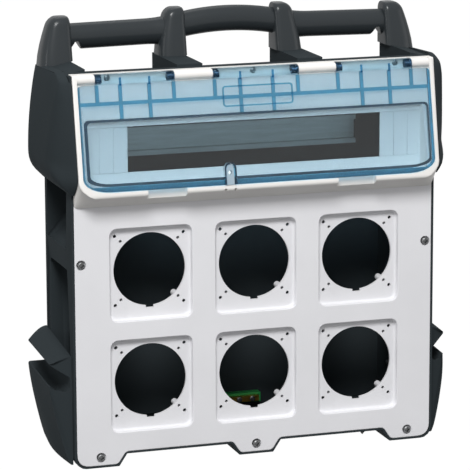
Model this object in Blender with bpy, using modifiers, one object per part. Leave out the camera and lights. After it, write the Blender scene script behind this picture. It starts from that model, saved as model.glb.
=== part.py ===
"""Portable power distribution box: moulded shell, socket panel, module hood with a clear flap, carry handle.

Metres, +Z up. X runs to the right, Y to the back, and the origin is under the centre foot, half way through
the depth. A depth in the comments is measured backwards from the panel's front face.
"""
import bpy
import bmesh
from math import asin, cos, hypot, pi, radians, sin, sqrt, tan
from mathutils import Matrix, Vector

# Driving dimensions: box
BOX_NAME = "power_distribution_box"
PANEL_WIDTH = 0.450
BODY_DEPTH = 0.125
BODY_HEIGHT = 0.475
RIM = 0.0025
FIT = 0.0003
WALL = 0.003
CORE_WIDTH = 0.410
FRONT_BAND = 0.016
REAR_BAND = 0.019
CORNER_RADIUS = 0.015
FOOT_HEIGHT = 0.0148
FOOT_TAPER = 0.0098
CENTRE_FOOT_WIDTH = 0.0432
SIDE_FOOT_START = 0.1728
FLOOR_THICKNESS = 0.0035
DECK_DROP = 0.015
RIDGE_HEIGHT = 0.019
UPSTAND = 0.006
UPSTAND_RISE = 0.001
RIDGE_WIDTH = 0.0315
RIDGE_FALL = 0.0052
INNER_RIDGE_START = 0.0595
OUTER_RIDGE_START = 0.2035
WEB_BOTTOM = 0.2394
WEB_TOP = 0.2645
WEB_RAMP = 0.020

# Driving dimensions: seat of the front covers
SEAT_DEPTH = 0.0085
SEAL_THICKNESS = 0.0024
SEAL_WIDTH = 0.004
SEAL_MARGIN = 0.0015
MOUTH_BOTTOM = 0.026
MOUTH_DROP = 0.032

# Driving dimensions: socket panel
PANEL_THICKNESS = 0.003
SOCKET_HOLE = 0.089
SOCKET_PITCH_X = 0.131
SOCKET_PITCH_Z = 0.1356
SOCKET_CENTRE_Z = 0.170
SOCKET_COLUMNS = 3
RECESS_WIDTH = 0.102
RECESS_HEIGHT = 0.113
RECESS_DEPTH = 0.008
RECESS_RADIUS = 0.008
RECESS_OFFSET = -0.004
KEY_WIDTH = 0.010
KEY_DEPTH = 0.0025
OUTER_HOLE_SPACING_X = 0.085
OUTER_HOLE_SPACING_Z = 0.084
OUTER_HOLE = 0.0044
INNER_HOLE_SPACING = 0.071
INNER_HOLE = 0.0038
BOSS_DIAMETER = 0.008
BOSS_LENGTH = 0.017
SIDE_SCREW_INSET = 0.008
SIDE_SCREW_Z = 0.2494
FOOT_SCREW_X = 0.1955
FOOT_SCREW_Z = 0.0127

# Driving dimensions: screws
SCREW_HEAD = 0.0105
SCREW_HEAD_HEIGHT = 0.003
SCREW_SHANK = 0.004
HEAD_SINK = 0.0016
SPACER_DIAMETER = 0.008
SMALL_HEAD = 0.007
SMALL_HEAD_HEIGHT = 0.0022
PANEL_SCREW_GRIP = 0.0065
SIDE_SCREW_GRIP = 0.009
HANDLE_SCREW_GRIP = 0.014

# Driving dimensions: hood
HOOD_HEIGHT = 0.157
HOOD_TILT = radians(11.65)
FACE_TOP_DEPTH = -0.001
LIP_RISE = 0.016
LIP_RADIUS = 0.005
HOOD_BACK = 0.0145
TOP_BAR = 0.024
CHIN_LAP = 0.006
OPENING_MARGIN = 0.015
OPENING_BOTTOM_RISE = 0.027
OPENING_HEIGHT = 0.083
GRIP_START = 0.0942
GRIP_WIDTH = 0.048
GRIP_DEPTH = 0.010
SEAL_HOLE = 0.0035
SEAL_HOLE_PITCH = 0.012
SEAL_HOLE_RISE = 0.0166
HOOD_SCREW_X = 0.180

# Driving dimensions: flap and its hinge
BEZEL = 0.0055
FLAP_GAP = 0.0006
FLAP_THICKNESS = 0.003
FLAP_CORNER = 0.016
CORNER_STRETCH = 2.0
FLAP_TOP_CORNER = 0.005
FLAP_BOTTOM_RISE = 0.0225
SKIRT_WIDTH = 0.0024
SKIRT_REACH = 0.0019
HINGE_DROP = 0.006
HINGE_INSET = 0.0057
KNUCKLE_LENGTH = 0.008
KNUCKLE_CLEARANCE = 0.0010
PIN_DIAMETER = 0.003
ZONE_OUTER = 0.1971
ZONE_INNER = 0.101
ZONE_MIDDLE = 0.0531
WINDOW_MARGIN = 0.0043
WINDOW_BOTTOM = 0.0065
WINDOW_HEIGHT = 0.078
WINDOW_RISE = 0.0025
WINDOW_WALL = 0.0025
WINDOW_RADIUS = 0.005
CREASE_DROP = 0.0265
RIB_WIDTH = 0.002
RIB_REACH = 0.0014
RIB_PLACES = (0.0203, 0.1321, 0.1676)
LABEL_WIDTH = 0.0876
LABEL_HEIGHT = 0.025
LABEL_DROP = 0.0340
LABEL_LINE = 0.0018
LABEL_RAISE = 0.0008
LOCK_X = -0.0407
LOCK_SLOT_WIDTH = 0.0108
LOCK_SLOT_HEIGHT = 0.0245
LOCK_RIM = 0.002
LOCK_RIM_RAISE = 0.0005
EYELET_GAP = 0.0008
EYELET_HOLE = 0.005
EYELET_THICKNESS = 0.0065

# Driving dimensions: module row
PLATE_DEPTH = 0.0022
PLATE_THICKNESS = 0.0025
PLATE_LAP = 0.0025
SLOT_WIDTH = 0.316
SLOT_HEIGHT = 0.054
SLOT_DROP = 0.091
STRIP_WIDTH = 0.049
STRIP_THICKNESS = 0.002
MODULE_PITCH = 0.0175
SCORE_WIDTH = 0.0008
SCORE_DEPTH = 0.0008
RAIL_LENGTH = 0.290
RAIL_HEIGHT = 0.035
RAIL_HAT = 0.025
RAIL_RISE = 0.0075
RAIL_SHEET = 0.001
RAIL_DEPTH = 0.0517
BRACKET_X = 0.120
BRACKET_WIDTH = 0.024
BRACKET_FOOT = 0.020
BRACKET_HEIGHT = 0.028
BRACKET_SHEET = 0.0015
WALL_BOSS = 0.014
WALL_BOSS_LENGTH = 0.010

# Driving dimensions: earth terminal and drain plug
TERMINAL_X = 0.012
TERMINAL_Z = 0.040
TERMINAL_LENGTH = 0.060
TERMINAL_HEIGHT = 0.012
TERMINAL_THICKNESS = 0.011
BUS_LENGTH = 0.052
BUS_HEIGHT = 0.007
BUS_THICKNESS = 0.006
BUS_SCREWS = 3
BUS_SCREW_PITCH = 0.017
DRAIN_X = 0.145
DRAIN_DEPTH = 0.022
DRAIN_STEM = 0.005
DRAIN_FLANGE = 0.011
DRAIN_TIP = 0.0095

# Driving dimensions: shoulders and cable hooks
SHOULDER_BULGE = 0.0205
SHOULDER_TOP_BULGE = 0.0068
SHOULDER_EDGE = 0.0015
SHOULDER_HEIGHT = 0.144
SHOULDER_BELLY = 0.036
SHOULDER_CREASE_TOP = 0.006
SHOULDER_CREASE_BACK = 0.026
SHOULDER_CREASE_DROP = 0.022
SHOULDER_CREASE_RUN = 0.080
SHOULDER_TUCK = 0.022
SHOULDER_TUCK_RUN = 0.027
SHOULDER_NOSE = 0.010
SHOULDER_NOSE_BACK = 0.026
HOOK_REACH = 0.0244
HOOK_TOP = 0.156
BEAK_ROOT = 0.1497
BEAK_TIP = 0.1325
BEAK_FALL = 0.008
THROAT = 0.1125
HORN_TIP = 0.1055
CRADLE = 0.094
CRADLE_WALL = 0.0025
HOOK_CLEARANCE = 0.005
HOOK_FRONT = 0.003
HOOK_SWEEP = 0.18

# Driving dimensions: carry handle
GRIP_HEIGHT = 0.0315
GRIP_THICKNESS = 0.025
GRIP_SETBACK = 0.014
GRIP_FLARE = 1.12
GRIP_FLARE_RUN = 0.016
SIDE_GRIP_RISE = 0.0263
SIDE_GRIP_CLIMB = 0.0023
MIDDLE_GRIP_RISE = 0.0325
ARCH_RISE = 0.0074
POST_DEPTH = 0.039
POST_LEAN = 0.019
POST_TOP = 0.0185
INNER_POST_HEIGHT = 0.056
OUTER_POST_HEIGHT = 0.051
POST_ROUND = 0.007
NOTCH_GAP = 0.0120
NOTCH_WIDTH = 0.014
NOTCH_HEIGHT = 0.0105
TENON_WIDTH = 0.012
TENON_DEPTH = 0.020
TENON_LENGTH = 0.008

# Facets
CIRCLE = 16
SOCKET_CIRCLE = 36
SMALL_CIRCLE = 6
CORNER_STEPS = 4
LONG_CORNER_STEPS = 6

# Places worked out from the driving dimensions
FRONT_Y = -BODY_DEPTH / 2
PANEL_HALF = PANEL_WIDTH / 2
SHELL_HALF = PANEL_HALF + FIT + RIM
CORE_HALF = CORE_WIDTH / 2
CAVITY_HALF = CORE_HALF - WALL
COVER_INSET = RIM + FIT
COVER_DEPTH = SEAT_DEPTH - SEAL_THICKNESS - 2 * FIT
DECK_Z = BODY_HEIGHT - DECK_DROP
RIDGE_Z = DECK_Z + RIDGE_HEIGHT
FLOOR_Z = FOOT_HEIGHT + FLOOR_THICKNESS
CHIN_Z = BODY_HEIGHT - HOOD_HEIGHT
PANEL_TOP = CHIN_Z + CHIN_LAP
MOUTH_TOP = BODY_HEIGHT - MOUTH_DROP
UPSTAND_BACK = HOOD_BACK + FIT + UPSTAND
CHANNEL_BACK = BODY_DEPTH - REAR_BAND
BACK_WALL = BODY_DEPTH - WALL
AXIS_Z = BODY_HEIGHT - HINGE_DROP
FLAP_HALF = PANEL_HALF - BEZEL - FLAP_GAP
SLOT_Z = BODY_HEIGHT - SLOT_DROP
SHOULDER_Z = RIDGE_Z - SHOULDER_HEIGHT
SHOULDER_TOP = RIDGE_Z - RIDGE_FALL
POST_FRONT = BODY_DEPTH - POST_DEPTH
GRIP_CENTRE = BODY_DEPTH - GRIP_SETBACK
CHANNEL_TOP = DECK_Z - WALL
PIN_BORE = (PIN_DIAMETER / 2 + FIT) / cos(pi / SMALL_CIRCLE)
PAST = 0.010


def face_depth(z):
    """Depth of the hood's sloping front face at a height."""
    return FACE_TOP_DEPTH - (BODY_HEIGHT - z) * tan(HOOD_TILT)


def ridge_top(x):
    """Height of an outer ridge's top, which falls away towards the side of the box."""
    return RIDGE_Z - (x - OUTER_RIDGE_START + FIT) * RIDGE_FALL / (SHELL_HALF - OUTER_RIDGE_START)


AXIS_DEPTH = face_depth(AXIS_Z) + HINGE_INSET / cos(HOOD_TILT)
# Hinge frame: x along the axis, y up the sloping face, z out of it
HINGE_PLACE = Matrix.Translation((0, FRONT_Y + AXIS_DEPTH, AXIS_Z))
HINGE_FRAME = HINGE_PLACE @ Matrix.Rotation(pi / 2 - HOOD_TILT, 4, "X")


def up_face(z):
    """Distance along the hood's face, from the hinge axis, of a height on that face."""
    return (z - AXIS_Z - HINGE_INSET * sin(HOOD_TILT)) / cos(HOOD_TILT)


FLAP_BOTTOM = up_face(CHIN_Z + FLAP_BOTTOM_RISE)
FLAP_TOP = -HINGE_INSET - KNUCKLE_CLEARANCE
PLATE_BACK = HINGE_INSET - FLAP_THICKNESS

# Outline planes: outline x and y become these axes, and the third one is extruded
FRONT_FACING = Matrix(((1, 0, 0, 0), (0, 0, 1, 0), (0, 1, 0, 0), (0, 0, 0, 1)))
SIDE_FACING = Matrix(((0, 0, 1, 0), (1, 0, 0, 0), (0, 1, 0, 0), (0, 0, 0, 1)))
TOP_FACING = Matrix.Identity(4)

for old in list(bpy.data.objects):
    bpy.data.objects.remove(old, do_unlink=True)

parts = bpy.data.collections.new(BOX_NAME)
cutters = bpy.data.collections.new("cutters")
bpy.context.scene.collection.children.link(parts)
bpy.context.scene.collection.children.link(cutters)


def material(name, colour, roughness, metallic=0.0, alpha=1.0):
    """Plain Principled material."""
    made = bpy.data.materials.new(name)
    made.use_nodes = True
    shader = made.node_tree.nodes["Principled BSDF"]
    shader.inputs["Base Color"].default_value = (*colour, 1.0)
    shader.inputs["Roughness"].default_value = roughness
    shader.inputs["Metallic"].default_value = metallic
    shader.inputs["Alpha"].default_value = alpha
    made.diffuse_color = (*colour, alpha)
    return made


ANTHRACITE = material("anthracite_plastic", (0.036, 0.042, 0.045), 0.45)
PANEL_GREY = material("panel_plastic", (0.68, 0.68, 0.70), 0.5)
HOOD_WHITE = material("hood_plastic", (0.80, 0.78, 0.76), 0.4)
CLEAR_BLUE = material("clear_polycarbonate", (0.28, 0.50, 0.66), 0.1, alpha=0.45)
SEAL_RUBBER = material("seal_rubber", (0.02, 0.02, 0.02), 0.8)
SCREW_STEEL = material("screw_steel", (0.55, 0.55, 0.55), 0.35, 1.0)
RAIL_ZINC = material("rail_zinc", (0.45, 0.47, 0.46), 0.4, 1.0)
EARTH_GREEN = material("earth_green_plastic", (0.03, 0.30, 0.08), 0.5)
BUS_BRASS = material("bus_brass", (0.60, 0.45, 0.15), 0.35, 1.0)


def add_part(name, mesh, finish, frame=None):
    """A named piece of the box."""
    piece = bpy.data.objects.new(name, mesh)
    mesh.materials.clear()
    mesh.materials.append(finish)
    parts.objects.link(piece)
    if frame:
        piece.matrix_world = frame
    return piece


def add_cutter(name, mesh, frame=None):
    """A hidden shape that a piece is cut or joined with."""
    shape = bpy.data.objects.new(name, mesh)
    cutters.objects.link(shape)
    shape.hide_render = True
    shape.display_type = "WIRE"
    if frame:
        shape.matrix_world = frame
    return shape


def combine(piece, operation, shape):
    """Add an exact boolean with a hidden shape."""
    step = piece.modifiers.new(shape.name, "BOOLEAN")
    step.operation = operation
    step.solver = "EXACT"
    step.object = shape


def arc(centre, radius, start, end, steps):
    """Points along an arc, angles in degrees."""
    turns = [radians(start + (end - start) * i / steps) for i in range(steps + 1)]
    return [(centre[0] + radius * cos(t), centre[1] + radius * sin(t)) for t in turns]


def circle(centre, radius, steps=CIRCLE):
    """Points round a full circle, with a flat rather than a point on each axis."""
    half = 180 / steps
    return arc(centre, radius, half, 360 - half, steps - 1)


def rectangle(low, high):
    """Plain rectangle from two corners."""
    return [low, (high[0], low[1]), high, (low[0], high[1])]


def rounded(low, high, lower, upper=None, stretch=1, steps=CORNER_STEPS):
    """Rectangle with rounded lower and upper corners, the lower ones drawn out along X by a stretch."""
    upper = lower if upper is None else upper
    quarter = arc((0, 0), lower, 270, 360, steps)
    right = [(high[0] + (x - lower) * stretch, low[1] + lower + y) for x, y in quarter]
    left = [(low[0] + (lower - x) * stretch, low[1] + lower + y) for x, y in reversed(quarter)]
    return (
        left + right
        + arc((high[0] - upper, high[1] - upper), upper, 0, 90, CORNER_STEPS)
        + arc((low[0] + upper, high[1] - upper), upper, 90, 180, CORNER_STEPS)
    )


def fillet(before, corner, after, radius):
    """Arc points that round one corner of an outline."""
    into = (Vector(before) - Vector(corner)).normalized()
    out = (Vector(after) - Vector(corner)).normalized()
    half = into.angle(out) / 2
    centre = Vector(corner) + (into + out).normalized() * radius / sin(half)
    first = Vector(corner) + into * radius / tan(half) - centre
    last = Vector(corner) + out * radius / tan(half) - centre
    points = []
    for i in range(CORNER_STEPS + 1):
        spoke = first.lerp(last, i / CORNER_STEPS).normalized() * radius
        points.append(tuple(centre + spoke))
    return points


def mirrored(outline):
    """Outline reflected to the left side."""
    return [(-x, y) for x, y in reversed(outline)]


def extrude(name, loops, facing, start, end):
    """Closed solid from flat outlines, with holes where one lies inside another."""
    curve = bpy.data.curves.new(name, "CURVE")
    curve.dimensions = "2D"
    curve.fill_mode = "BOTH"
    curve.extrude = (end - start) / 2
    for loop in loops:
        spline = curve.splines.new("POLY")
        spline.points.add(len(loop) - 1)
        for point, (u, v) in zip(spline.points, loop):
            point.co = (u, v, 0, 1)
        spline.use_cyclic_u = True
    holder = bpy.data.objects.new(name, curve)
    mesh = bpy.data.meshes.new_from_object(holder)
    bpy.data.objects.remove(holder)
    mesh.transform(facing @ Matrix.Translation((0, 0, (start + end) / 2)))
    return closed(mesh)


def closed(mesh):
    """Weld a mesh, merge its flat faces and point them outwards."""
    work = bmesh.new()
    work.from_mesh(mesh)
    bmesh.ops.remove_doubles(work, verts=work.verts, dist=1e-6)
    bmesh.ops.dissolve_limit(work, angle_limit=radians(0.5), verts=work.verts, edges=work.edges)
    bmesh.ops.recalc_face_normals(work, faces=work.faces)
    work.to_mesh(mesh)
    work.free()
    return mesh


def front(name, loops, near, far):
    """Solid from front-view outlines (x, z) between two depths."""
    return extrude(name, loops, FRONT_FACING, FRONT_Y + near, FRONT_Y + far)


def side(name, loops, left, right):
    """Solid from side-view outlines (depth, z) between two X places."""
    shifted = [[(FRONT_Y + d, z) for d, z in loop] for loop in loops]
    return extrude(name, shifted, SIDE_FACING, left, right)


def top(name, loops, low, high):
    """Solid from top-view outlines (x, depth) between two heights."""
    shifted = [[(x, FRONT_Y + d) for x, d in loop] for loop in loops]
    return extrude(name, shifted, TOP_FACING, low, high)


def boxes(name, corners):
    """Separate boxes from pairs of (x, depth, z) corners."""
    work = bmesh.new()
    for low, high in corners:
        size = [b - a for a, b in zip(low, high)]
        middle = [(a + b) / 2 for a, b in zip(low, high)]
        place = Matrix.Translation((middle[0], FRONT_Y + middle[1], middle[2]))
        bmesh.ops.create_cube(work, size=1.0, matrix=place @ Matrix.Diagonal((*size, 1.0)))
    mesh = bpy.data.meshes.new(name)
    work.to_mesh(mesh)
    work.free()
    return mesh


def turned(name, profile, finish, frame, steps=CIRCLE):
    """Turned piece: a profile of (radius, height), run down its outer side, swept round Z."""
    mesh = bpy.data.meshes.new(name)
    points = [(radius, 0, height) for radius, height in profile]
    mesh.from_pydata(points, [(i, i + 1) for i in range(len(points) - 1)], [])
    piece = add_part(name, mesh, finish, frame)
    sweep = piece.modifiers.new("turn", "SCREW")
    sweep.steps = steps
    sweep.render_steps = steps
    sweep.use_merge_vertices = True
    sweep.merge_threshold = 1e-6
    sweep.use_smooth_shade = True
    return piece


def screw(name, place, direction, head, head_height, length):
    """Pan-head screw: the head's underside at a place, the shank running along a direction."""
    profile = [
        (0, head_height),
        (head * 0.34, head_height),
        (head / 2, head_height * 0.55),
        (head / 2, 0),
        (SCREW_SHANK / 2, 0),
        (SCREW_SHANK / 2, SCREW_SHANK / 2 - length),
        (0, -length),
    ]
    turn = Vector(direction).to_track_quat("-Z", "Y").to_matrix().to_4x4()
    spot = Matrix.Translation((place[0], FRONT_Y + place[1], place[2]))
    return turned(name, profile, SCREW_STEEL, spot @ turn)


def body_outline(inset, height):
    """Front outline of the box, drawn in by an inset: feet along the bottom and rounded lower corners."""
    lean = FOOT_TAPER / FOOT_HEIGHT
    shift = inset * hypot(1, lean)
    notch = FOOT_HEIGHT + inset
    half = SHELL_HALF - inset
    radius = CORNER_RADIUS - inset
    right = [
        (CENTRE_FOOT_WIDTH / 2 + lean * inset - shift, inset),
        (CENTRE_FOOT_WIDTH / 2 + lean * notch - shift, notch),
        (SIDE_FOOT_START - lean * notch + shift, notch),
        (SIDE_FOOT_START - lean * inset + shift, inset),
        *arc((half - radius, inset + radius), radius, 270, 360, CORNER_STEPS),
        (half, height),
    ]
    return right + mirrored(right)


panel_screws = [
    (-PANEL_HALF + SIDE_SCREW_INSET, SIDE_SCREW_Z),
    (PANEL_HALF - SIDE_SCREW_INSET, SIDE_SCREW_Z),
    (-FOOT_SCREW_X, FOOT_SCREW_Z),
    (0, FOOT_SCREW_Z),
    (FOOT_SCREW_X, FOOT_SCREW_Z),
]
hood_screws = [(-HOOD_SCREW_X, AXIS_Z), (0, AXIS_Z), (HOOD_SCREW_X, AXIS_Z)]
ridge_middle = INNER_RIDGE_START + RIDGE_WIDTH / 2
handle_screw_depths = (POST_FRONT + POST_LEAN / 2, BODY_DEPTH - GRIP_SETBACK / 2)
handle_screws = [(sign * ridge_middle, d) for sign in (-1, 1) for d in handle_screw_depths]
side_screw_depths = (
    FRONT_BAND + (CHANNEL_BACK - FRONT_BAND) / 4,
    CHANNEL_BACK - (CHANNEL_BACK - FRONT_BAND) / 4,
)
shoulder_screw_z = (SHOULDER_Z + CHANNEL_TOP) / 2
hook_screw_z = HOOK_TOP / 2
screw_hole = (SCREW_SHANK / 2 + FIT) / cos(pi / SMALL_CIRCLE)
bracket_boss_x = BRACKET_X + BRACKET_WIDTH / 2 + BRACKET_FOOT / 2


def ridge_slopes(name, signs):
    """Cutter over the falling tops of the outer ridges."""
    start = OUTER_RIDGE_START - PAST
    end = SHELL_HALF + 4 * PAST
    above = RIDGE_Z + 2 * PAST
    right = [(start, ridge_top(start)), (end, ridge_top(end)), (end, above), (start, above)]
    loops = [right if sign > 0 else mirrored(right) for sign in signs]
    return front(name, loops, -4 * PAST, BODY_DEPTH + PAST)


def make_rear_shell():
    """Moulded tub, open at the front, with side channels, deck ridges, a seat for the covers and feet."""
    shell = add_part("rear_shell", front("rear_shell", [body_outline(0, RIDGE_Z)], 0, BODY_DEPTH), ANTHRACITE)
    beyond = SHELL_HALF + PAST
    above = RIDGE_Z + PAST

    # Side channels between the front and rear bands, split by a ramped web
    for sign, label in ((-1, "left"), (1, "right")):
        lower = rectangle((CORE_HALF, -PAST), (beyond, WEB_BOTTOM))
        upper = [
            (CORE_HALF, WEB_TOP + WEB_RAMP),
            (SHELL_HALF, WEB_TOP),
            (beyond, WEB_TOP),
            (beyond, CHANNEL_TOP),
            (CORE_HALF, CHANNEL_TOP),
        ]
        loops = [lower, upper] if sign > 0 else [mirrored(lower), mirrored(upper)]
        channel = front(f"{label}_channel", loops, FRONT_BAND, CHANNEL_BACK)
        combine(shell, "DIFFERENCE", add_cutter(f"{label}_channel", channel))

    # Deck between the ridges that carry the handle, and the upstand behind the hood
    inner_end = INNER_RIDGE_START + RIDGE_WIDTH
    deck = [
        ((-OUTER_RIDGE_START, UPSTAND_BACK, DECK_Z), (-inner_end, BODY_DEPTH + PAST, above)),
        ((-INNER_RIDGE_START, UPSTAND_BACK, DECK_Z), (INNER_RIDGE_START, BODY_DEPTH + PAST, above)),
        ((inner_end, UPSTAND_BACK, DECK_Z), (OUTER_RIDGE_START, BODY_DEPTH + PAST, above)),
    ]
    combine(shell, "DIFFERENCE", add_cutter("deck_cuts", boxes("deck_cuts", deck)))
    trim = ((-beyond, -PAST, BODY_HEIGHT + UPSTAND_RISE), (beyond, UPSTAND_BACK, above))
    combine(shell, "DIFFERENCE", add_cutter("upstand_trim", boxes("upstand_trim", [trim])))
    combine(shell, "DIFFERENCE", add_cutter("ridge_slopes", ridge_slopes("ridge_slopes", (-1, 1))))

    # Seat of the panel and hood, deeper behind the hood's top bar
    seat = front("cover_seat", [body_outline(RIM, above)], -PAST, SEAT_DEPTH)
    combine(shell, "DIFFERENCE", add_cutter("cover_seat", seat))
    bar_half = SHELL_HALF - RIM
    bar_seat = (
        (-bar_half, -PAST, BODY_HEIGHT - TOP_BAR - FIT),
        (bar_half, HOOD_BACK + FIT, above),
    )
    combine(shell, "DIFFERENCE", add_cutter("bar_seat", boxes("bar_seat", [bar_seat])))

    # Inside of the tub and its mouth
    mouth = ((-CAVITY_HALF, -PAST, MOUTH_BOTTOM), (CAVITY_HALF, FRONT_BAND + PAST, MOUTH_TOP))
    combine(shell, "DIFFERENCE", add_cutter("mouth", boxes("mouth", [mouth])))
    cavity = ((-CAVITY_HALF, FRONT_BAND, FLOOR_Z), (CAVITY_HALF, BACK_WALL, CHANNEL_TOP))
    combine(shell, "DIFFERENCE", add_cutter("cavity", boxes("cavity", [cavity])))

    # Bosses on the back wall for the rail brackets
    places = [(sign * bracket_boss_x, SLOT_Z) for sign in (-1, 1)]
    bosses = [circle(place, WALL_BOSS / 2) for place in places]
    boss_front = BACK_WALL - WALL_BOSS_LENGTH
    mesh = front("wall_bosses", bosses, boss_front, BACK_WALL + WALL / 2)
    combine(shell, "UNION", add_cutter("wall_bosses", mesh))

    # Screw holes
    boss_holes = [circle(place, screw_hole, SMALL_CIRCLE) for place in places]
    holes = front("boss_holes", boss_holes, boss_front - PAST, BACK_WALL - WALL / 2)
    combine(shell, "DIFFERENCE", add_cutter("boss_holes", holes))
    panel_holes = [circle(place, screw_hole, SMALL_CIRCLE) for place in panel_screws]
    holes = front("panel_holes", panel_holes, 0, SEAT_DEPTH + PANEL_SCREW_GRIP + FIT)
    combine(shell, "DIFFERENCE", add_cutter("panel_holes", holes))
    hood_holes = [circle(place, screw_hole, SMALL_CIRCLE) for place in hood_screws]
    holes = front("hood_holes", hood_holes, 0, UPSTAND_BACK + PAST)
    combine(shell, "DIFFERENCE", add_cutter("hood_holes", holes))
    ridge_holes = [circle(place, screw_hole, SMALL_CIRCLE) for place in handle_screws]
    holes = top("ridge_holes", ridge_holes, CHANNEL_TOP - PAST, above)
    combine(shell, "DIFFERENCE", add_cutter("ridge_holes", holes))
    wall_holes = [circle((d, z), screw_hole, SMALL_CIRCLE)
                  for d in side_screw_depths for z in (shoulder_screw_z, hook_screw_z)]
    holes = side("wall_holes", wall_holes, -CORE_HALF - WALL, CORE_HALF + WALL)
    combine(shell, "DIFFERENCE", add_cutter("wall_holes", holes))
    drain = top("drain_hole", [circle((DRAIN_X, DRAIN_DEPTH), DRAIN_STEM / 2 + FIT)], 0, MOUTH_BOTTOM)
    combine(shell, "DIFFERENCE", add_cutter("drain_hole", drain))

    # Sockets in the outer ridges for the handle's end posts
    sockets = []
    for sign in (-1, 1):
        x = sign * (OUTER_RIDGE_START + TENON_WIDTH)
        reach = TENON_WIDTH / 2 + FIT
        rear = BODY_DEPTH - WALL
        sockets.append((
            (x - reach, rear - TENON_DEPTH - 2 * FIT, RIDGE_Z - TENON_LENGTH - FIT),
            (x + reach, rear, above),
        ))
    combine(shell, "DIFFERENCE", add_cutter("tenon_sockets", boxes("tenon_sockets", sockets)))


def shoulder_bulge(z):
    """How far a shoulder stands out of the shell's side at a height."""
    belly = SHOULDER_Z + SHOULDER_BELLY
    if z < belly:
        drop = (belly - z) / SHOULDER_BELLY
        return SHOULDER_BULGE * (1 - drop ** 2.6)
    climb = (z - belly) / (SHOULDER_TOP - belly)
    return SHOULDER_BULGE - (SHOULDER_BULGE - SHOULDER_TOP_BULGE) * climb ** 1.7


def shoulder_section(z):
    """Plan of a shoulder at a height, as (x, depth): front edge along the hood, crease, rear and inner side."""
    inner = PANEL_HALF + FIT
    outer = SHELL_HALF + FIT + max(shoulder_bulge(z), SHOULDER_EDGE)
    belly = SHOULDER_Z + SHOULDER_BELLY
    tuck = min(max((SHOULDER_Z + SHOULDER_TUCK - z) / SHOULDER_TUCK_RUN, 0), 1)
    near = face_depth(max(z, SHOULDER_Z + SHOULDER_TUCK)) * (1 - tuck ** 1.6)
    run = min(max((BODY_HEIGHT - SHOULDER_CREASE_DROP - z) / SHOULDER_CREASE_RUN, 0), 1)
    crease = SHOULDER_CREASE_TOP + (SHOULDER_CREASE_BACK - SHOULDER_CREASE_TOP) * run
    if z < belly:
        crease -= (crease - near) * ((belly - z) / SHOULDER_BELLY) ** 1.5
    nose = min(max((z - SHOULDER_TOP + SHOULDER_NOSE) / SHOULDER_NOSE, 0), 1)
    back = SHOULDER_NOSE_BACK * (1 - sqrt(1 - nose ** 2))
    return [(inner, near + back), (outer, crease + back), (outer, BODY_DEPTH), (inner, BODY_DEPTH)]


def loft(name, rings):
    """Closed solid through rings of (x, depth, z) points, one after another."""
    work = bmesh.new()
    rows = [[work.verts.new((x, FRONT_Y + d, z)) for x, d, z in ring] for ring in rings]
    for row, following in zip(rows, rows[1:]):
        for i in range(len(row)):
            j = (i + 1) % len(row)
            work.faces.new((row[i], row[j], following[j], following[i]))
    work.faces.new(rows[0])
    work.faces.new(rows[-1])
    mesh = bpy.data.meshes.new(name)
    work.to_mesh(mesh)
    work.free()
    return closed(mesh)


def make_shoulder(label, sign):
    """Upper side moulding: bulges out beside the hood and keys into the shell's side channel."""
    name = f"{label}_shoulder"
    steps = 14
    nose_z = SHOULDER_TOP - SHOULDER_NOSE
    heights = [SHOULDER_Z + (nose_z - SHOULDER_Z) * (i / steps) ** 1.3 for i in range(steps + 1)]
    heights += [nose_z + SHOULDER_NOSE * sin(radians(turn)) for turn in (20, 45, 70, 90)]
    heights.append(RIDGE_Z)
    rings = [[(sign * x, d, z) for x, d in shoulder_section(z)] for z in heights]
    shoulder = add_part(name, loft(name, rings), ANTHRACITE)
    combine(shoulder, "DIFFERENCE", add_cutter(f"{name}_slope", ridge_slopes(f"{name}_slope", (sign,))))

    # Clear of the shell's rim and rear band, which it laps on the outside
    low_x, high_x = sorted((sign * (PANEL_HALF - PAST), sign * (SHELL_HALF + FIT)))
    clear = ((low_x, -FIT, 0), (high_x, BODY_DEPTH + PAST, RIDGE_Z + PAST))
    combine(shoulder, "DIFFERENCE", add_cutter(f"{name}_clear", boxes(f"{name}_clear", [clear])))
    low_x, high_x = sorted((sign * (CORE_HALF + FIT), sign * (SHELL_HALF + FIT + SHOULDER_EDGE / 2)))
    key = ((low_x, FRONT_BAND + FIT, SHOULDER_Z + FIT), (high_x, CHANNEL_BACK - FIT, CHANNEL_TOP - FIT))
    combine(shoulder, "UNION", add_cutter(f"{name}_key", boxes(f"{name}_key", [key])))
    bore_holes(shoulder, name, sign, shoulder_screw_z)


def bore_holes(piece, name, sign, z):
    """Pilot holes for the two screws that hold a side moulding from inside the shell."""
    ends = sorted((sign * (CORE_HALF - PAST), sign * (CORE_HALF + SIDE_SCREW_GRIP + 2 * FIT)))
    holes = side(f"{name}_holes", [circle((d, z), screw_hole, SMALL_CIRCLE) for d in side_screw_depths], *ends)
    combine(piece, "DIFFERENCE", add_cutter(f"{name}_holes", holes))


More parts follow.
